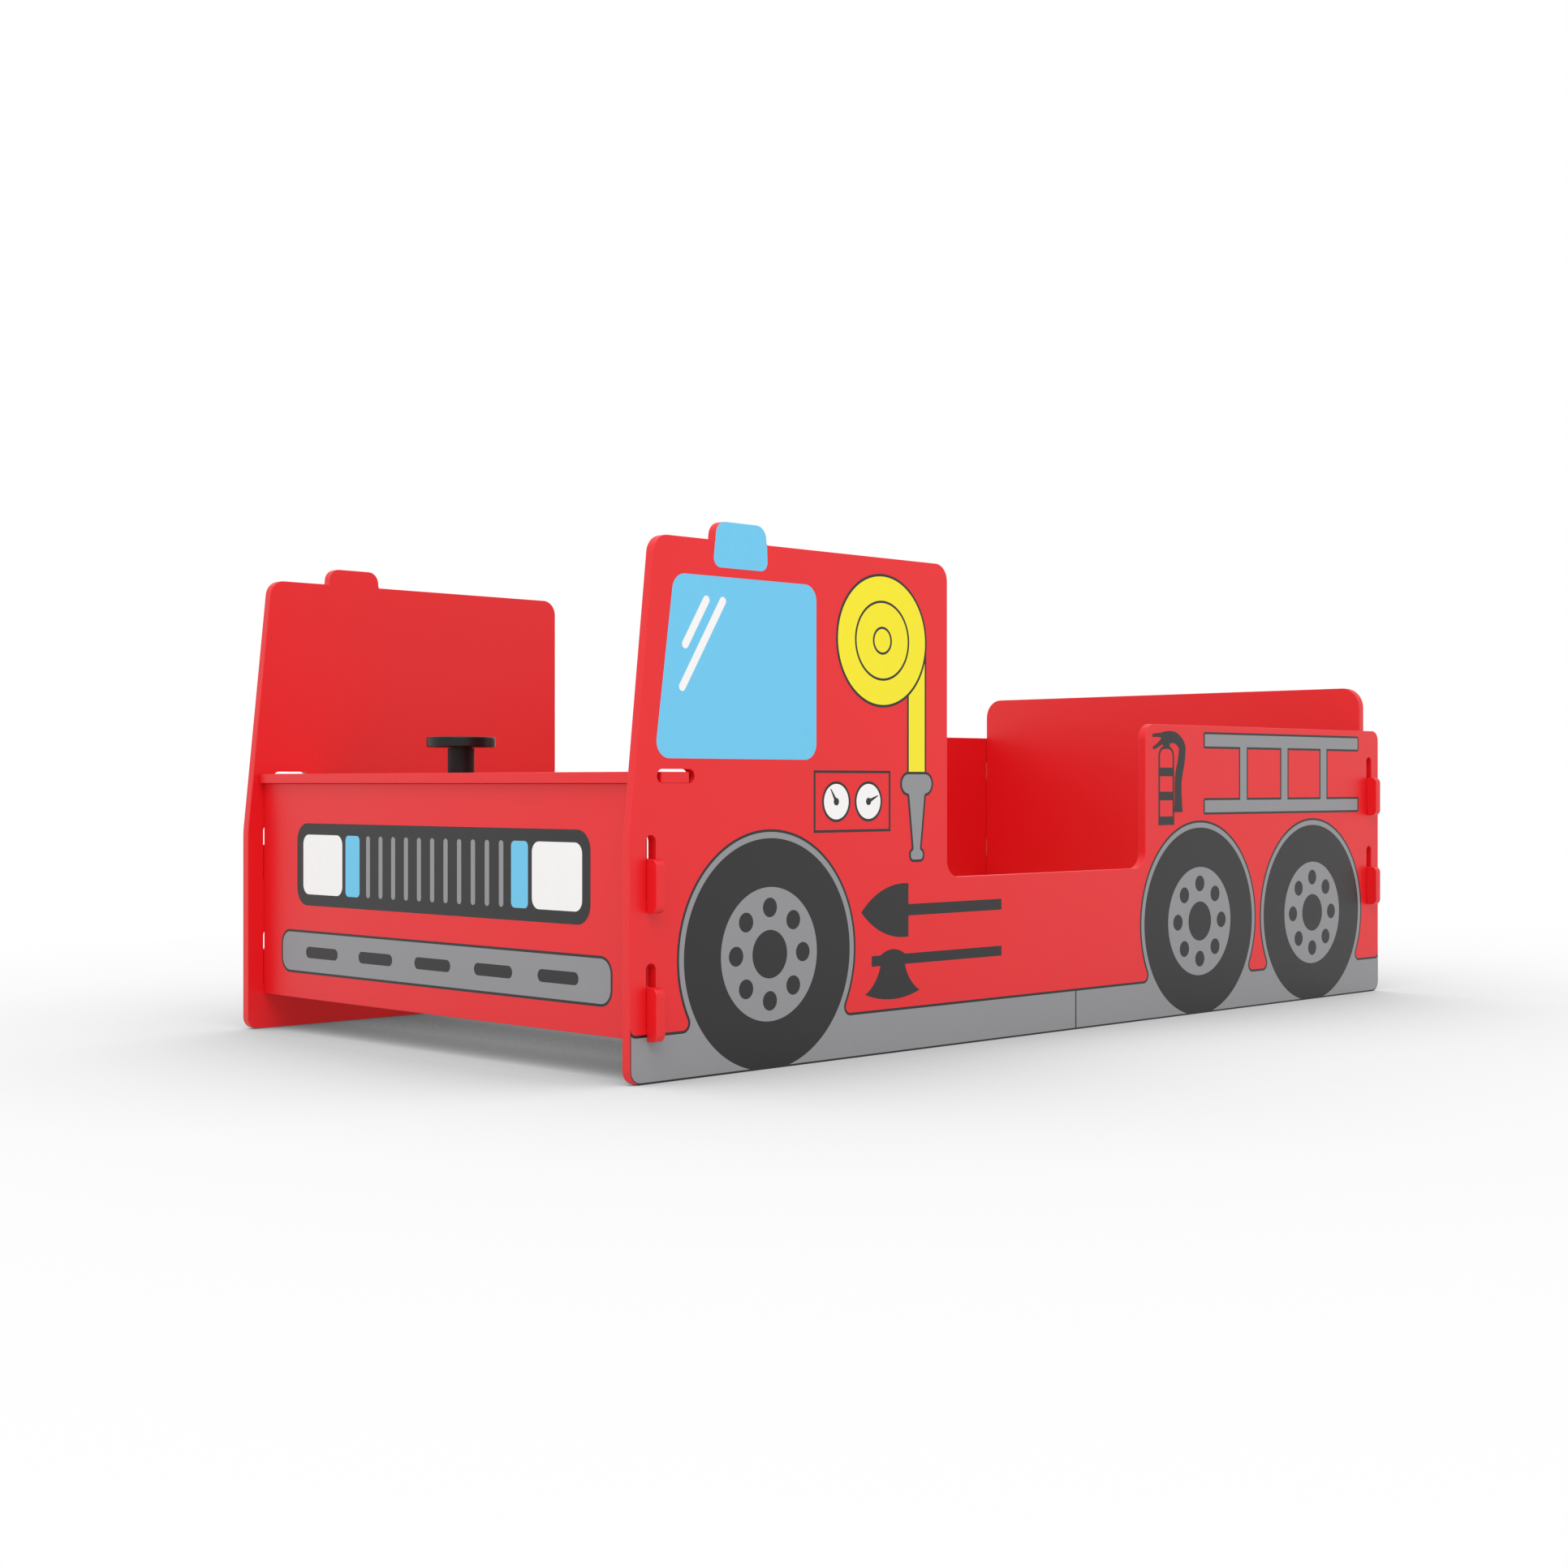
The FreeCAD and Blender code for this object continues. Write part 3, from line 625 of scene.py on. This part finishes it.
class Film:
    """Ink of one colour on a flat face: closed plates on the board, each a number of layers thick."""

    def __init__(self, settings, face):
        self.step = settings.print.film
        self.rim = settings.print.rim
        self.wrap = settings.print.wrap
        self.face = face
        self.points = []
        self.polygons = []
        self.total = 0

    def put(self, points, lift):
        """World points of (back, height) on a side panel or (across, height) on the front, lifted off it."""
        first, height = points[..., 0], points[..., 1]
        lift = np.broadcast_to(lift, first.shape)
        if self.face == "front":
            return np.stack([first, FRONT_FACE - lift, height], -1)
        side = 1 if self.face == "left" else -1
        return np.stack([side * (SIDE_FACE + lift), CAB_FRONT + first, height], -1)

    def add(self, points, polygons):
        """Keep a closed shape's points and polygons."""
        self.points.append(points.reshape(-1, 3))
        self.polygons += polygons
        self.total += len(self.points[-1])

    def facing(self, outline):
        """The outline in the order that faces outwards on this face."""
        return outline[::-1] if self.face == "right" else outline

    def plate(self, outline, layer=1):
        """The outline carried straight out from the board to the layer's top."""
        outline = self.facing(outline)
        count = len(outline)
        top = np.arange(count) + self.total
        ahead = np.roll(top, -1)
        walls = np.column_stack([top, top + count, ahead + count, ahead])
        points = np.concatenate([self.put(outline, layer * self.step), self.put(outline, 0.0)])
        self.add(points, [top.tolist(), (top[::-1] + count).tolist()] + walls.tolist())

    def ring(self, outer, inner, layer=1):
        """The strip between two outlines with as many points each, from the board to the layer's top."""
        outer, inner = self.facing(outer), self.facing(inner)
        count = len(outer)
        top = layer * self.step
        loops = [self.put(outer, top), self.put(inner, top), self.put(inner, 0.0), self.put(outer, 0.0)]
        here = np.arange(count) + self.total
        ahead = np.roll(here, -1)
        polygons = []
        for index in range(len(loops)):
            low, high = index * count, (index + 1) % len(loops) * count
            polygons += np.column_stack([here + low, ahead + low, ahead + high, here + high]).tolist()
        self.add(np.concatenate(loops), polygons)

    def hem(self, path, outwards, layer=1):
        """Strip along an open path that runs over the board's rounded rim.
        Across it an angle goes from 0 to wrap: out by its sine, up by its cosine, times the rim's radius."""
        path, outwards = self.facing(path), self.facing(outwards)
        turn = np.linspace(0.0, self.wrap, HEM_POINTS)[None, :, None]
        grids = []
        for lift in (layer * self.step, 0.0):
            radius = self.rim + lift
            flat = path[:, None] + outwards[:, None] * radius * np.sin(turn)
            grids.append(self.put(flat, (radius * np.cos(turn) - self.rim)[..., 0]))
        self.shell(*grids)

    def shell(self, top, base):
        """Two grids of points with the same shape, closed along their four borders."""
        rows, columns = top.shape[:2]
        index = np.arange(rows * columns).reshape(rows, columns) + self.total
        under = index + rows * columns
        quads = np.stack([index[:-1, :-1], index[:-1, 1:], index[1:, 1:], index[1:, :-1]], -1).reshape(-1, 4)
        border = np.concatenate([index[0, :-1], index[:-1, -1], index[-1, :0:-1], index[:0:-1, 0]])
        ahead = np.roll(border, -1)
        walls = np.column_stack([border, border + rows * columns, ahead + rows * columns, ahead])
        below = np.stack([under[:-1, :-1], under[1:, :-1], under[1:, 1:], under[:-1, 1:]], -1).reshape(-1, 4)
        self.add(np.concatenate([top, base]), np.concatenate([quads, below, walls]).tolist())

    def finish(self, name, tone):
        """Make the piece, in the ink of this tone, and let it ride on the bed."""
        mesh = bpy.data.meshes.new(name)
        mesh.from_pydata(np.concatenate(self.points).tolist(), [], self.polygons)
        if mesh.validate():
            raise RuntimeError("%s has faces that are not sound" % name)
        mesh.materials.append(bpy.data.materials[tone + "_print"])
        piece = stand(name, mesh)
        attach(piece, BODY)


def print_films(context, faces, fill, *inks):
    """On each face, let fill draw on one film for each (piece, tone) ink, and make the films' pieces."""
    settings = context.scene.bed
    for face in faces:
        films = [Film(settings, face) for _ in inks]
        fill(settings, *films)
        for film, (piece, tone) in zip(films, inks):
            film.finish(face + "_" + piece, tone)
    return {"FINISHED"}


# Operators

class BED_OT_boards(bpy.types.Operator):
    """Lacquer the panels and the dashboard red, and the steering wheel and its column black"""
    bl_idname = "bed.boards"
    bl_label = "Lacquer the boards"

    def execute(self, context):
        tones = context.scene.bed.colours
        boards = ["left_side_panel", "right_side_panel", "front_panel", "rear_panel", "dashboard"]
        dress(boards, coat("red_lacquer", tones.red, **LACQUER, **SATIN))
        dress(["steering_wheel"], coat("black_lacquer", tones.black, **LACQUER, **WHEEL_GLOSS))
        dress(["steering_column"], coat("black_column_lacquer", tones.black, **LACQUER, **COLUMN_GLOSS))
        return {"FINISHED"}


class BED_OT_deck(bpy.types.Operator):
    """Give the slats and their rails bare pine, with its grain along each piece"""
    bl_idname = "bed.deck"
    bl_label = "Grain the deck"

    def execute(self, context):
        tones = context.scene.bed.colours
        slats = [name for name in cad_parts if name.startswith("slat_") and name != "slat_screws"]
        dress(slats, pine("pine_slat", tones.pine_light, tones.pine_dark, (1, 0, 0)))
        rails = ["left_slat_rail", "right_slat_rail"]
        dress(rails, pine("pine_rail", tones.pine_light, tones.pine_dark, (0, 1, 0)))
        return {"FINISHED"}


class BED_OT_hardware(bpy.types.Operator):
    """Plate the screws, bolt, washers and nut, and mould the cap and the slip washer"""
    bl_idname = "bed.hardware"
    bl_label = "Finish the hardware"

    def execute(self, context):
        tones = context.scene.bed.colours
        plated = ["rail_screws", "slat_screws", "column_screws", "steering_bolt"]
        plated += ["head_washer", "nut_washer", "lock_nut"]
        dress(plated, coat("zinc_steel", tones.zinc, **PLATING, **METAL_GLOSS))
        dress(["steering_wheel_cap"], coat("black_plastic", tones.black, **PLASTIC, **CAP_GLOSS))
        dress(["slip_washer"], coat("black_nylon", tones.nylon, **PLASTIC, **WASHER_GLOSS))
        return {"FINISHED"}


class BED_OT_inks(bpy.types.Operator):
    """Mix the printing inks"""
    bl_idname = "bed.inks"
    bl_label = "Mix the inks"

    def execute(self, context):
        for tone in ("charcoal", "grey", "blue", "yellow", "white"):
            coat(tone + "_print", getattr(context.scene.bed.colours, tone), **INK, **SATIN)
        return {"FINISHED"}


def arch_line(chassis, axle, spread):
    """Edge of one wheel arch from its rear foot over the wheel to its front foot, spread outwards.
    A foot's circle touches the band's top line and the arch's circle, so its centre is a foot's radius
    above the line and both radii from the axle."""
    radius = chassis.arch + spread
    foot = chassis.foot - spread
    line = chassis.height + spread
    drop = chassis.axle_height - line - foot
    out = math.sqrt((radius + foot) ** 2 - drop ** 2)
    dip = math.degrees(math.atan2(drop, out))
    rear_foot = arc((axle + out, line + foot), foot, 270, 180 - dip, CORNER_POINTS)
    over = arc((axle, chassis.axle_height), radius, -dip, 180 + dip, ARCH_POINTS)
    front_foot = arc((axle - out, line + foot), foot, dip, -90, CORNER_POINTS)
    return np.concatenate([rear_foot, over[1:-1], front_foot])


def chassis_outline(settings, spread):
    """The band along the floor with its arches, its upper edge spread outwards and turned up at both ends.
    Where it isn't spread, it leaves a thin line free along the board's rim.
    An end's arc is cut off at the rim, by the angle whose cosine is the rim's share of the arc's radius."""
    chassis = settings.chassis
    rim = settings.print.rim + (settings.print.line - spread) * BAND_SETBACK
    corner = chassis.corner - rim
    radius = chassis.end - spread
    middle = settings.print.rim + chassis.end - settings.print.line
    cut = math.degrees(math.acos(min(1.0, (middle - rim) / radius)))
    high = chassis.height + chassis.end
    return np.concatenate([
        arc((chassis.corner, chassis.corner), corner, 180, 270, CORNER_POINTS),
        arc((SIDE_LENGTH - chassis.corner, chassis.corner), corner, 270, 360, CORNER_POINTS),
        arc((SIDE_LENGTH - middle, high), radius, -cut, -90, CORNER_POINTS),
        *[arch_line(chassis, axle, spread) for axle in sorted(chassis.axles, reverse=True)],
        arc((middle, high), radius, 270, 180 + cut, CORNER_POINTS),
    ])


def floor_edge(settings):
    """Path along a side panel's floor edge, round both its corners, with the way out at each point."""
    corner = settings.chassis.corner
    way = [
        arc((0, 0), 1.0, start, end, CORNER_POINTS)
        for start, end in ((FLOOR_LINE_FRONT, 270), (270, FLOOR_LINE_REAR))]
    centres = [(corner, corner), (SIDE_LENGTH - corner, corner)]
    path = [np.array(centre) + (corner - settings.print.rim) * out for centre, out in zip(centres, way)]
    return np.concatenate(path), np.concatenate(way)


class BED_OT_chassis(bpy.types.Operator):
    """Print the grey chassis band with its wheel arches, and the wheels, on both sides"""
    bl_idname = "bed.chassis"
    bl_label = "Print the chassis and wheels"

    def execute(self, context):
        return print_films(
            context, SIDES, self.fill, ("chassis_lines", "charcoal"), ("chassis_band", "grey"),
            ("tyres", "charcoal"), ("wheel_discs", "grey"), ("hubs_and_lugs", "charcoal"))

    def fill(self, settings, lines, band, tyres, discs, hubs):
        """The band, and a wheel on each axle."""
        self.fill_band(settings, lines, band)
        for axle in settings.chassis.axles:
            self.fill_wheel(settings, axle, tyres, discs, hubs)

    def fill_band(self, settings, lines, band):
        """The outlined band with its floor line and the upright joint across it."""
        chassis = settings.chassis
        width = chassis.joint_line
        lines.plate(chassis_outline(settings, settings.print.line))
        lines.hem(*floor_edge(settings))
        band.plate(chassis_outline(settings, 0.0), layer=2)
        lines.plate(post(chassis.joint, width, settings.print.rim, chassis.height, width * SOFT), layer=3)

    def fill_wheel(self, settings, axle, tyres, discs, hubs):
        """Tyre with disc, hub and lug holes. The tyre is cut off at the floor edge's rim, at the angle whose
        cosine is the axle's height above that over the tyre's radius."""
        chassis = settings.chassis
        centre = (axle, chassis.axle_height)
        cut = math.degrees(math.acos((chassis.axle_height - settings.print.rim) / chassis.tyre))
        tyres.plate(arc(centre, chassis.tyre, cut - 90, 270 - cut, TYRE_POINTS), layer=3)
        discs.plate(circle(centre, chassis.wheel), layer=4)
        hubs.plate(circle(centre, chassis.hub, HUB_POINTS), layer=5)
        for hole in circle(centre, chassis.lug_circle, chassis.lugs, start=90):
            hubs.plate(circle(hole, chassis.lug, LUG_POINTS), layer=5)


class BED_OT_cab(bpy.types.Operator):
    """Print the cab's window with its white streaks, and the beacon on the roof, on both sides"""
    bl_idname = "bed.cab"
    bl_label = "Print the window and beacon"

    def execute(self, context):
        return print_films(
            context, SIDES, self.fill, ("window", "blue"), ("window_streaks", "white"), ("beacon", "blue"))

    def fill(self, settings, window, streaks, beacon):
        """Four-cornered window with a raked front edge, two round-ended streaks on it, and the beacon."""
        cab = settings.cab
        corner = cab.window_corner
        window.plate(rounded([
            (*cab.window_low, corner), (cab.window_rear, cab.window_low[1], corner),
            (cab.window_rear, cab.window_high[1], corner), (*cab.window_high, corner)], ARC_POINTS))
        streaks.plate(capsule(cab.long_shine_top, cab.long_shine_foot, cab.shine), layer=2)
        streaks.plate(capsule(cab.short_shine_top, cab.short_shine_foot, cab.shine), layer=2)
        self.fill_beacon(settings, beacon)

    def fill_beacon(self, settings, beacon):
        """The flat of the raised tongue and the board below it, with a hem over the tongue's rim."""
        cab = settings.cab
        rim = settings.print.rim
        half = cab.beacon_width / 2
        roof = cab.beacon_shoulder - rim
        high = BEACON_TOP - rim
        top = half - rim - (high - roof) * cab.beacon_lean
        crisp = rim * ROOF_CRISP
        feet = [(back, cab.beacon_bottom, cab.beacon_foot) for back in cab.beacon_feet]
        tongue = [
            (half, roof - rim / 2, crisp), (half - rim, roof, crisp), (top, high, cab.beacon_corner - rim)]
        outline = rounded(feet + mirrored(cab.beacon_middle, tongue), BEND_POINTS)
        beacon.plate(outline)
        path = outline[outline[:, 1] > roof - rim * ROOF_SLACK]
        ahead = unit(np.gradient(path, axis=0))
        beacon.hem(path, np.column_stack([ahead[:, 1], -ahead[:, 0]]))


class BED_OT_hose(bpy.types.Operator):
    """Print the rolled hose with its hanging end and nozzle, on both sides"""
    bl_idname = "bed.hose"
    bl_label = "Print the hose"

    def execute(self, context):
        return print_films(
            context, SIDES, self.fill, ("hose_lines", "charcoal"), ("hose", "yellow"), ("nozzle", "grey"))

    def fill(self, settings, lines, roll, nozzle):
        """Hanging end, the roll over it with its turns as rings, and the nozzle, each outlined."""
        hose = settings.hose
        line = settings.print.line
        strap = post(hose.nozzle[0], hose.strap_width, hose.nozzle[1], hose.reel[1], line * SOFT)
        lines.plate(grow(strap, line))
        roll.plate(strap, layer=2)
        lines.plate(circle(hose.reel, hose.reel_radius + line), layer=3)
        roll.plate(circle(hose.reel, hose.reel_radius), layer=4)
        half = hose.turn_line / 2
        for radius in hose.turns:
            lines.ring(circle(hose.reel, radius + half), circle(hose.reel, radius - half), layer=5)
        outline = self.nozzle_outline(hose)
        lines.plate(grow(outline, line), layer=3)
        nozzle.plate(outline, layer=4)

    def nozzle_outline(self, hose):
        """Rounded collar, tapering barrel and rounded tip, as half widths at heights, mirrored."""
        middle, top = hose.nozzle
        collar = top - hose.collar_height
        tip = collar - hose.barrel
        return rounded(mirrored(middle, [
            (hose.tip_width / 2, tip - hose.tip_height, hose.tip_round),
            (hose.tip_width / 2, tip - hose.tip_slope, hose.tip_shoulder),
            (hose.muzzle / 2, tip, hose.hollow),
            (hose.throat / 2, collar, hose.hollow),
            (hose.collar_width / 2, collar + hose.collar_slope, hose.collar_low),
            (hose.collar_width / 2, top, hose.collar_high),
        ]))


class BED_OT_gauges(bpy.types.Operator):
    """Print the pair of gauges in their frame, on both sides"""
    bl_idname = "bed.gauges"
    bl_label = "Print the gauges"

    def execute(self, context):
        return print_films(context, SIDES, self.fill, ("gauge_lines", "charcoal"), ("gauge_dials", "white"))

    def fill(self, settings, lines, dials):
        """A frame between two rectangles, and two outlined discs with a needle each."""
        gauges = settings.gauges
        low, high = np.array(gauges.box_low), np.array(gauges.box_high)
        line = gauges.frame_line
        lines.ring(slab(low, high, line * CRISP), slab(low + line, high - line, line * CRISP))
        for back, turn in zip(gauges.dials, (gauges.first_turn, gauges.second_turn)):
            centre = (back, gauges.dial_height)
            lines.plate(circle(centre, gauges.dial + gauges.dial_line, DIAL_POINTS))
            dials.plate(circle(centre, gauges.dial, DIAL_POINTS), layer=2)
            lines.plate(self.needle_outline(gauges, centre, math.degrees(turn)), layer=3)

    def needle_outline(self, gauges, centre, turn):
        """Round boss with a tapering needle, whose base and tip are chords of circles round the centre."""
        base, tip = [
            math.degrees(math.asin(width / 2 / radius)) for width, radius in (
                (gauges.needle_base, gauges.boss), (gauges.needle_tip, gauges.needle))]
        return np.concatenate([
            arc(centre, gauges.boss, turn + base, turn + 360 - base, BOSS_POINTS),
            arc(centre, gauges.needle, turn - tip, turn + tip, TIP_POINTS)])


class BED_OT_tools(bpy.types.Operator):
    """Print the shovel and the axe, on both sides"""
    bl_idname = "bed.tools"
    bl_label = "Print the tools"

    def execute(self, context):
        return print_films(context, SIDES, self.fill, ("shovel", "charcoal"), ("axe", "charcoal"))

    def fill(self, settings, shovel, axe):
        """Each tool as one outline."""
        shovel.plate(self.shovel_outline(settings.tools))
        axe.plate(self.axe_outline(settings.tools))

    def shovel_outline(self, tools):
        """Pointed blade of two arcs, with the handle on its square end."""
        front, level = tools.shovel_tip
        heel, rear = front + tools.blade_length, tools.handle_rear
        wide, narrow = tools.blade_width / 2, tools.shovel_handle / 2
        return np.concatenate([
            bow((front, level), (heel, level - wide), -tools.blade_bulge),
            [(heel, level - narrow), (rear, level - narrow), (rear, level + narrow), (heel, level + narrow)],
            bow((heel, level + wide), (front, level), -tools.blade_bulge)[:-1],
        ])

    def axe_outline(self, tools):
        """Flared head of four arcs across the handle."""
        butt, low = tools.axe_butt
        high = low + tools.axe_handle
        front, rear = tools.axe_middle - tools.axe_neck / 2, tools.axe_middle + tools.axe_neck / 2
        edge = low - tools.axe_drop
        front_corner = (tools.axe_middle - tools.axe_edge_width / 2, edge)
        rear_corner = (tools.axe_middle + tools.axe_edge_width / 2, edge)
        return np.concatenate([
            bow((front, low), front_corner, tools.axe_sweep)[:-1],
            bow(front_corner, rear_corner, -tools.axe_belly)[:-1],
            bow(rear_corner, (rear, low), tools.axe_sweep),
            [(tools.handle_rear, low), (tools.handle_rear, high)],
            bow((rear, high), (front, high), -tools.axe_hump),
            [(butt, high), (butt, low)],
        ])


class BED_OT_tail(bpy.types.Operator):
    """Print the extinguisher and the ladder on the tail, on both sides"""
    bl_idname = "bed.tail"
    bl_label = "Print the extinguisher and ladder"

    def execute(self, context):
        return print_films(
            context, SIDES, self.fill, ("extinguisher", "charcoal"), ("ladder_lines", "charcoal"),
            ("ladder", "grey"))

    def fill(self, settings, bottle, lines, ladder):
        """The extinguisher, and the ladder behind it."""
        self.fill_bottle(settings.tail, settings.print.line, bottle)
        self.fill_ladder(settings.tail, settings.print.line, lines, ladder)

    def fill_bottle(self, tail, line, bottle):
        """Outlined bottle with three bands, a valve with two levers, and a hose that hangs beside it."""
        front, rear = tail.bottle_front, tail.bottle_front + tail.bottle_width
        bottom, top = tail.bottle_bottom, tail.bottle_top
        soft, shoulder = line * SOFT, tail.bottle_corner
        body = rounded([
            (front, bottom, soft), (rear, bottom, soft), (rear, top, shoulder), (front, top, shoulder),
        ], BEND_POINTS)
        bottle.ring(body, grow(body, -tail.bottle_line))
        for low in (bottom, *tail.bands):
            bottle.plate(slab((front, low), (rear, low + tail.band), soft), layer=2)
        bottle.plate(rounded([(*corner, line / 2) for corner in VALVE]), layer=3)
        for layer, stations in enumerate((BOTTLE_HOSE, UPPER_LEVER, LOWER_LEVER), start=4):
            bottle.plate(brush(stations), layer)

    def fill_ladder(self, tail, line, lines, ladder):
        """Two rails with rungs between them, outlined."""
        crisp = line * CRISP
        front, rear = tail.ladder_ends
        bottom, top = tail.ladder_edges
        low, high = bottom + tail.ladder_rail, top - tail.ladder_rail
        for under, over in ((bottom, low), (high, top)):
            rail = slab((front, under), (rear, over), crisp)
            lines.plate(grow(rail, line))
            ladder.plate(rail, layer=2)
        for middle in tail.first_rung + tail.rung_pitch * np.arange(tail.rungs):
            lines.plate(post(middle, tail.ladder_rung + 2 * line, low + line, high - line, crisp))
            ladder.plate(post(middle, tail.ladder_rung, low, high, crisp * CRISP), layer=2)


class BED_OT_nose(bpy.types.Operator):
    """Print a plain engine front: a grille panel with headlamps, and a bumper"""
    bl_idname = "bed.nose"
    bl_label = "Print the front"

    def execute(self, context):
        return print_films(
            context, ("front",), self.fill, ("grille_panel", "charcoal"), ("bars_and_bumper", "grey"),
            ("headlamps", "white"), ("marker_lamps", "blue"))

    def fill(self, settings, charcoal, grey, white, blue):
        """The grille panel, and the bumper below it."""
        self.fill_grille(settings.nose, charcoal, grey, white, blue)
        self.fill_bumper(settings.nose, settings.print.line, charcoal, grey)

    def fill_grille(self, nose, charcoal, grey, white, blue):
        """Charcoal panel, with a headlamp and a marker lamp at each end and upright bars between."""
        low, high = nose.grille_edges
        charcoal.plate(post(0.0, 2 * nose.grille_half, low, high, nose.grille_corner))
        low, high = low + nose.margin, high - nose.margin
        lamp = nose.grille_half - nose.margin - nose.lamp_width / 2
        marker = lamp - (nose.lamp_width + nose.margin + nose.marker_width) / 2
        for side in (1, -1):
            white.plate(post(side * lamp, nose.lamp_width, low, high, nose.lamp_corner), layer=2)
            blue.plate(post(side * marker, nose.marker_width, low, high, nose.lamp_corner / 2), layer=2)
        width = nose.bar_width
        reach = marker - nose.marker_width / 2 - nose.margin - width / 2
        for middle in np.linspace(-reach, reach, nose.bars):
            grey.plate(post(middle, width, low, high, width / 2 * BAR_ROUND), layer=2)

    def fill_bumper(self, nose, line, charcoal, grey):
        """Outlined grey bar with a row of dark slots."""
        low, high = nose.bumper_edges
        bar = post(0.0, 2 * nose.bumper_half, low, high, nose.bumper_corner)
        charcoal.plate(grow(bar, line))
        grey.plate(bar, layer=2)
        level = (low + high) / 2
        half = (nose.vent_width - nose.vent_height) / 2
        for middle in (np.arange(nose.vents) - (nose.vents - 1) / 2) * nose.vent_pitch:
            vent = capsule((middle - half, level), (middle + half, level), nose.vent_height / 2)
            charcoal.plate(vent, layer=3)


class BED_OT_stage(bpy.types.Operator):
    """Set the floor, the light from all round, the lamp and the camera"""
    bl_idname = "bed.stage"
    bl_label = "Set the stage"

    def execute(self, context):
        stage = context.scene.bed.stage
        self.lay_floor(stage)
        self.light_dome(context, stage)
        self.hang_lamp(stage)
        self.set_camera(context, stage)
        context.scene.view_settings.view_transform = "Standard"
        return {"FINISHED"}

    def lay_floor(self, stage):
        """Level white square under the bed that glows instead of being lit, with painted shadow: each spot is
        as bright as the share of the dome that it sees. As a lamp it is evener than it looks, because a real
        floor also passes on the light that it gets."""
        corners = np.array([[-1, -1, 0], [1, -1, 0], [1, 1, 0], [-1, 1, 0]]) * stage.floor_half
        mesh = bpy.data.meshes.new("floor")
        mesh.from_pydata((corners - [0, 0, stage.gap]).tolist(), [], [(0, 1, 2, 3)])
        paint = Paint("floor_painted_shadow")
        # Painted shadow: the ambient occlusion share darkens the floor's glow near and under the bed
        open_share = paint.node(
            "ShaderNodeAmbientOcclusion", {"samples": FLOOR_RAYS}, {"Distance": stage.reach}, out="AO")
        painted_shadow_level = stage.bounce + (1.0 - stage.bounce) * open_share
        cast = stage.cast * (stage.cast_bounce + (1.0 - stage.cast_bounce) * open_share)
        level = cast + (painted_shadow_level - cast) * paint.seen()
        glow = paint.node("ShaderNodeEmission", sockets={"Color": WHITE, "Strength": level})
        paint.feed(paint.nodes["Material Output"].inputs["Surface"], glow)
        paint.material.cycles.emission_sampling = "NONE"
        mesh.materials.append(paint.material)
        floor = stand("floor", mesh)

    def light_dome(self, context, stage):
        """White all round for what is seen, and the dome's strength for what only lights the bed."""
        world = bpy.data.worlds.new("studio")
        context.scene.world = world
        tree = Tree(world)
        background = tree.nodes["Background"]
        tree.feed(background.inputs["Color"], WHITE)
        tree.feed(background.inputs["Strength"], stage.dome + (1.0 - stage.dome) * tree.seen())

    def hang_lamp(self, stage):
        """A large round lamp that faces the bed's middle."""
        lamp = bpy.data.lights.new("key", "AREA")
        lamp.shape = "DISK"
        lamp.size = stage.key_size
        lamp.energy = stage.key
        holder = stand("key", lamp)
        holder.location = stage.key_place
        holder.rotation_euler = Vector(stage.key_place).to_track_quat("Z", "Y").to_euler()

    def set_camera(self, context, stage):
        """A level camera: a quarter turn up from looking straight down, then the yaw about the upright."""
        camera = bpy.data.cameras.new("camera")
        camera.sensor_width = SENSOR_WIDTH
        camera.lens = stage.lens
        holder = stand("camera", camera)
        holder.location = stage.eye
        holder.rotation_euler = (math.pi / 2, 0.0, stage.yaw)
        context.scene.camera = holder


OPERATORS = (
    BED_OT_boards, BED_OT_deck, BED_OT_hardware, BED_OT_inks, BED_OT_chassis, BED_OT_cab, BED_OT_hose,
    BED_OT_gauges, BED_OT_tools, BED_OT_tail, BED_OT_nose, BED_OT_stage,
)


class BED_PT_panel(bpy.types.Panel):
    """Lists the steps that dress the bed"""
    bl_label = "Fire engine bed"
    bl_idname = "BED_PT_panel"
    bl_space_type = "VIEW_3D"
    bl_region_type = "UI"
    bl_category = "Bed"

    def draw(self, context):
        for operator in OPERATORS:
            self.layout.operator(operator.bl_idname)


CLASSES = (
    BED_PG_colours, BED_PG_print, BED_PG_chassis, BED_PG_cab, BED_PG_hose, BED_PG_gauges, BED_PG_tools,
    BED_PG_tail, BED_PG_nose, BED_PG_stage, BED_PG_settings, *OPERATORS, BED_PT_panel,
)


def register():
    for item in CLASSES:
        bpy.utils.register_class(item)
    bpy.types.Scene.bed = PointerProperty(type=BED_PG_settings)


def unregister():
    del bpy.types.Scene.bed
    for item in reversed(CLASSES):
        bpy.utils.unregister_class(item)


def main():
    register()
    for operator in OPERATORS:
        group, name = operator.bl_idname.split(".")
        getattr(getattr(bpy.ops, group), name)()


if __name__ == "__main__":
    main()
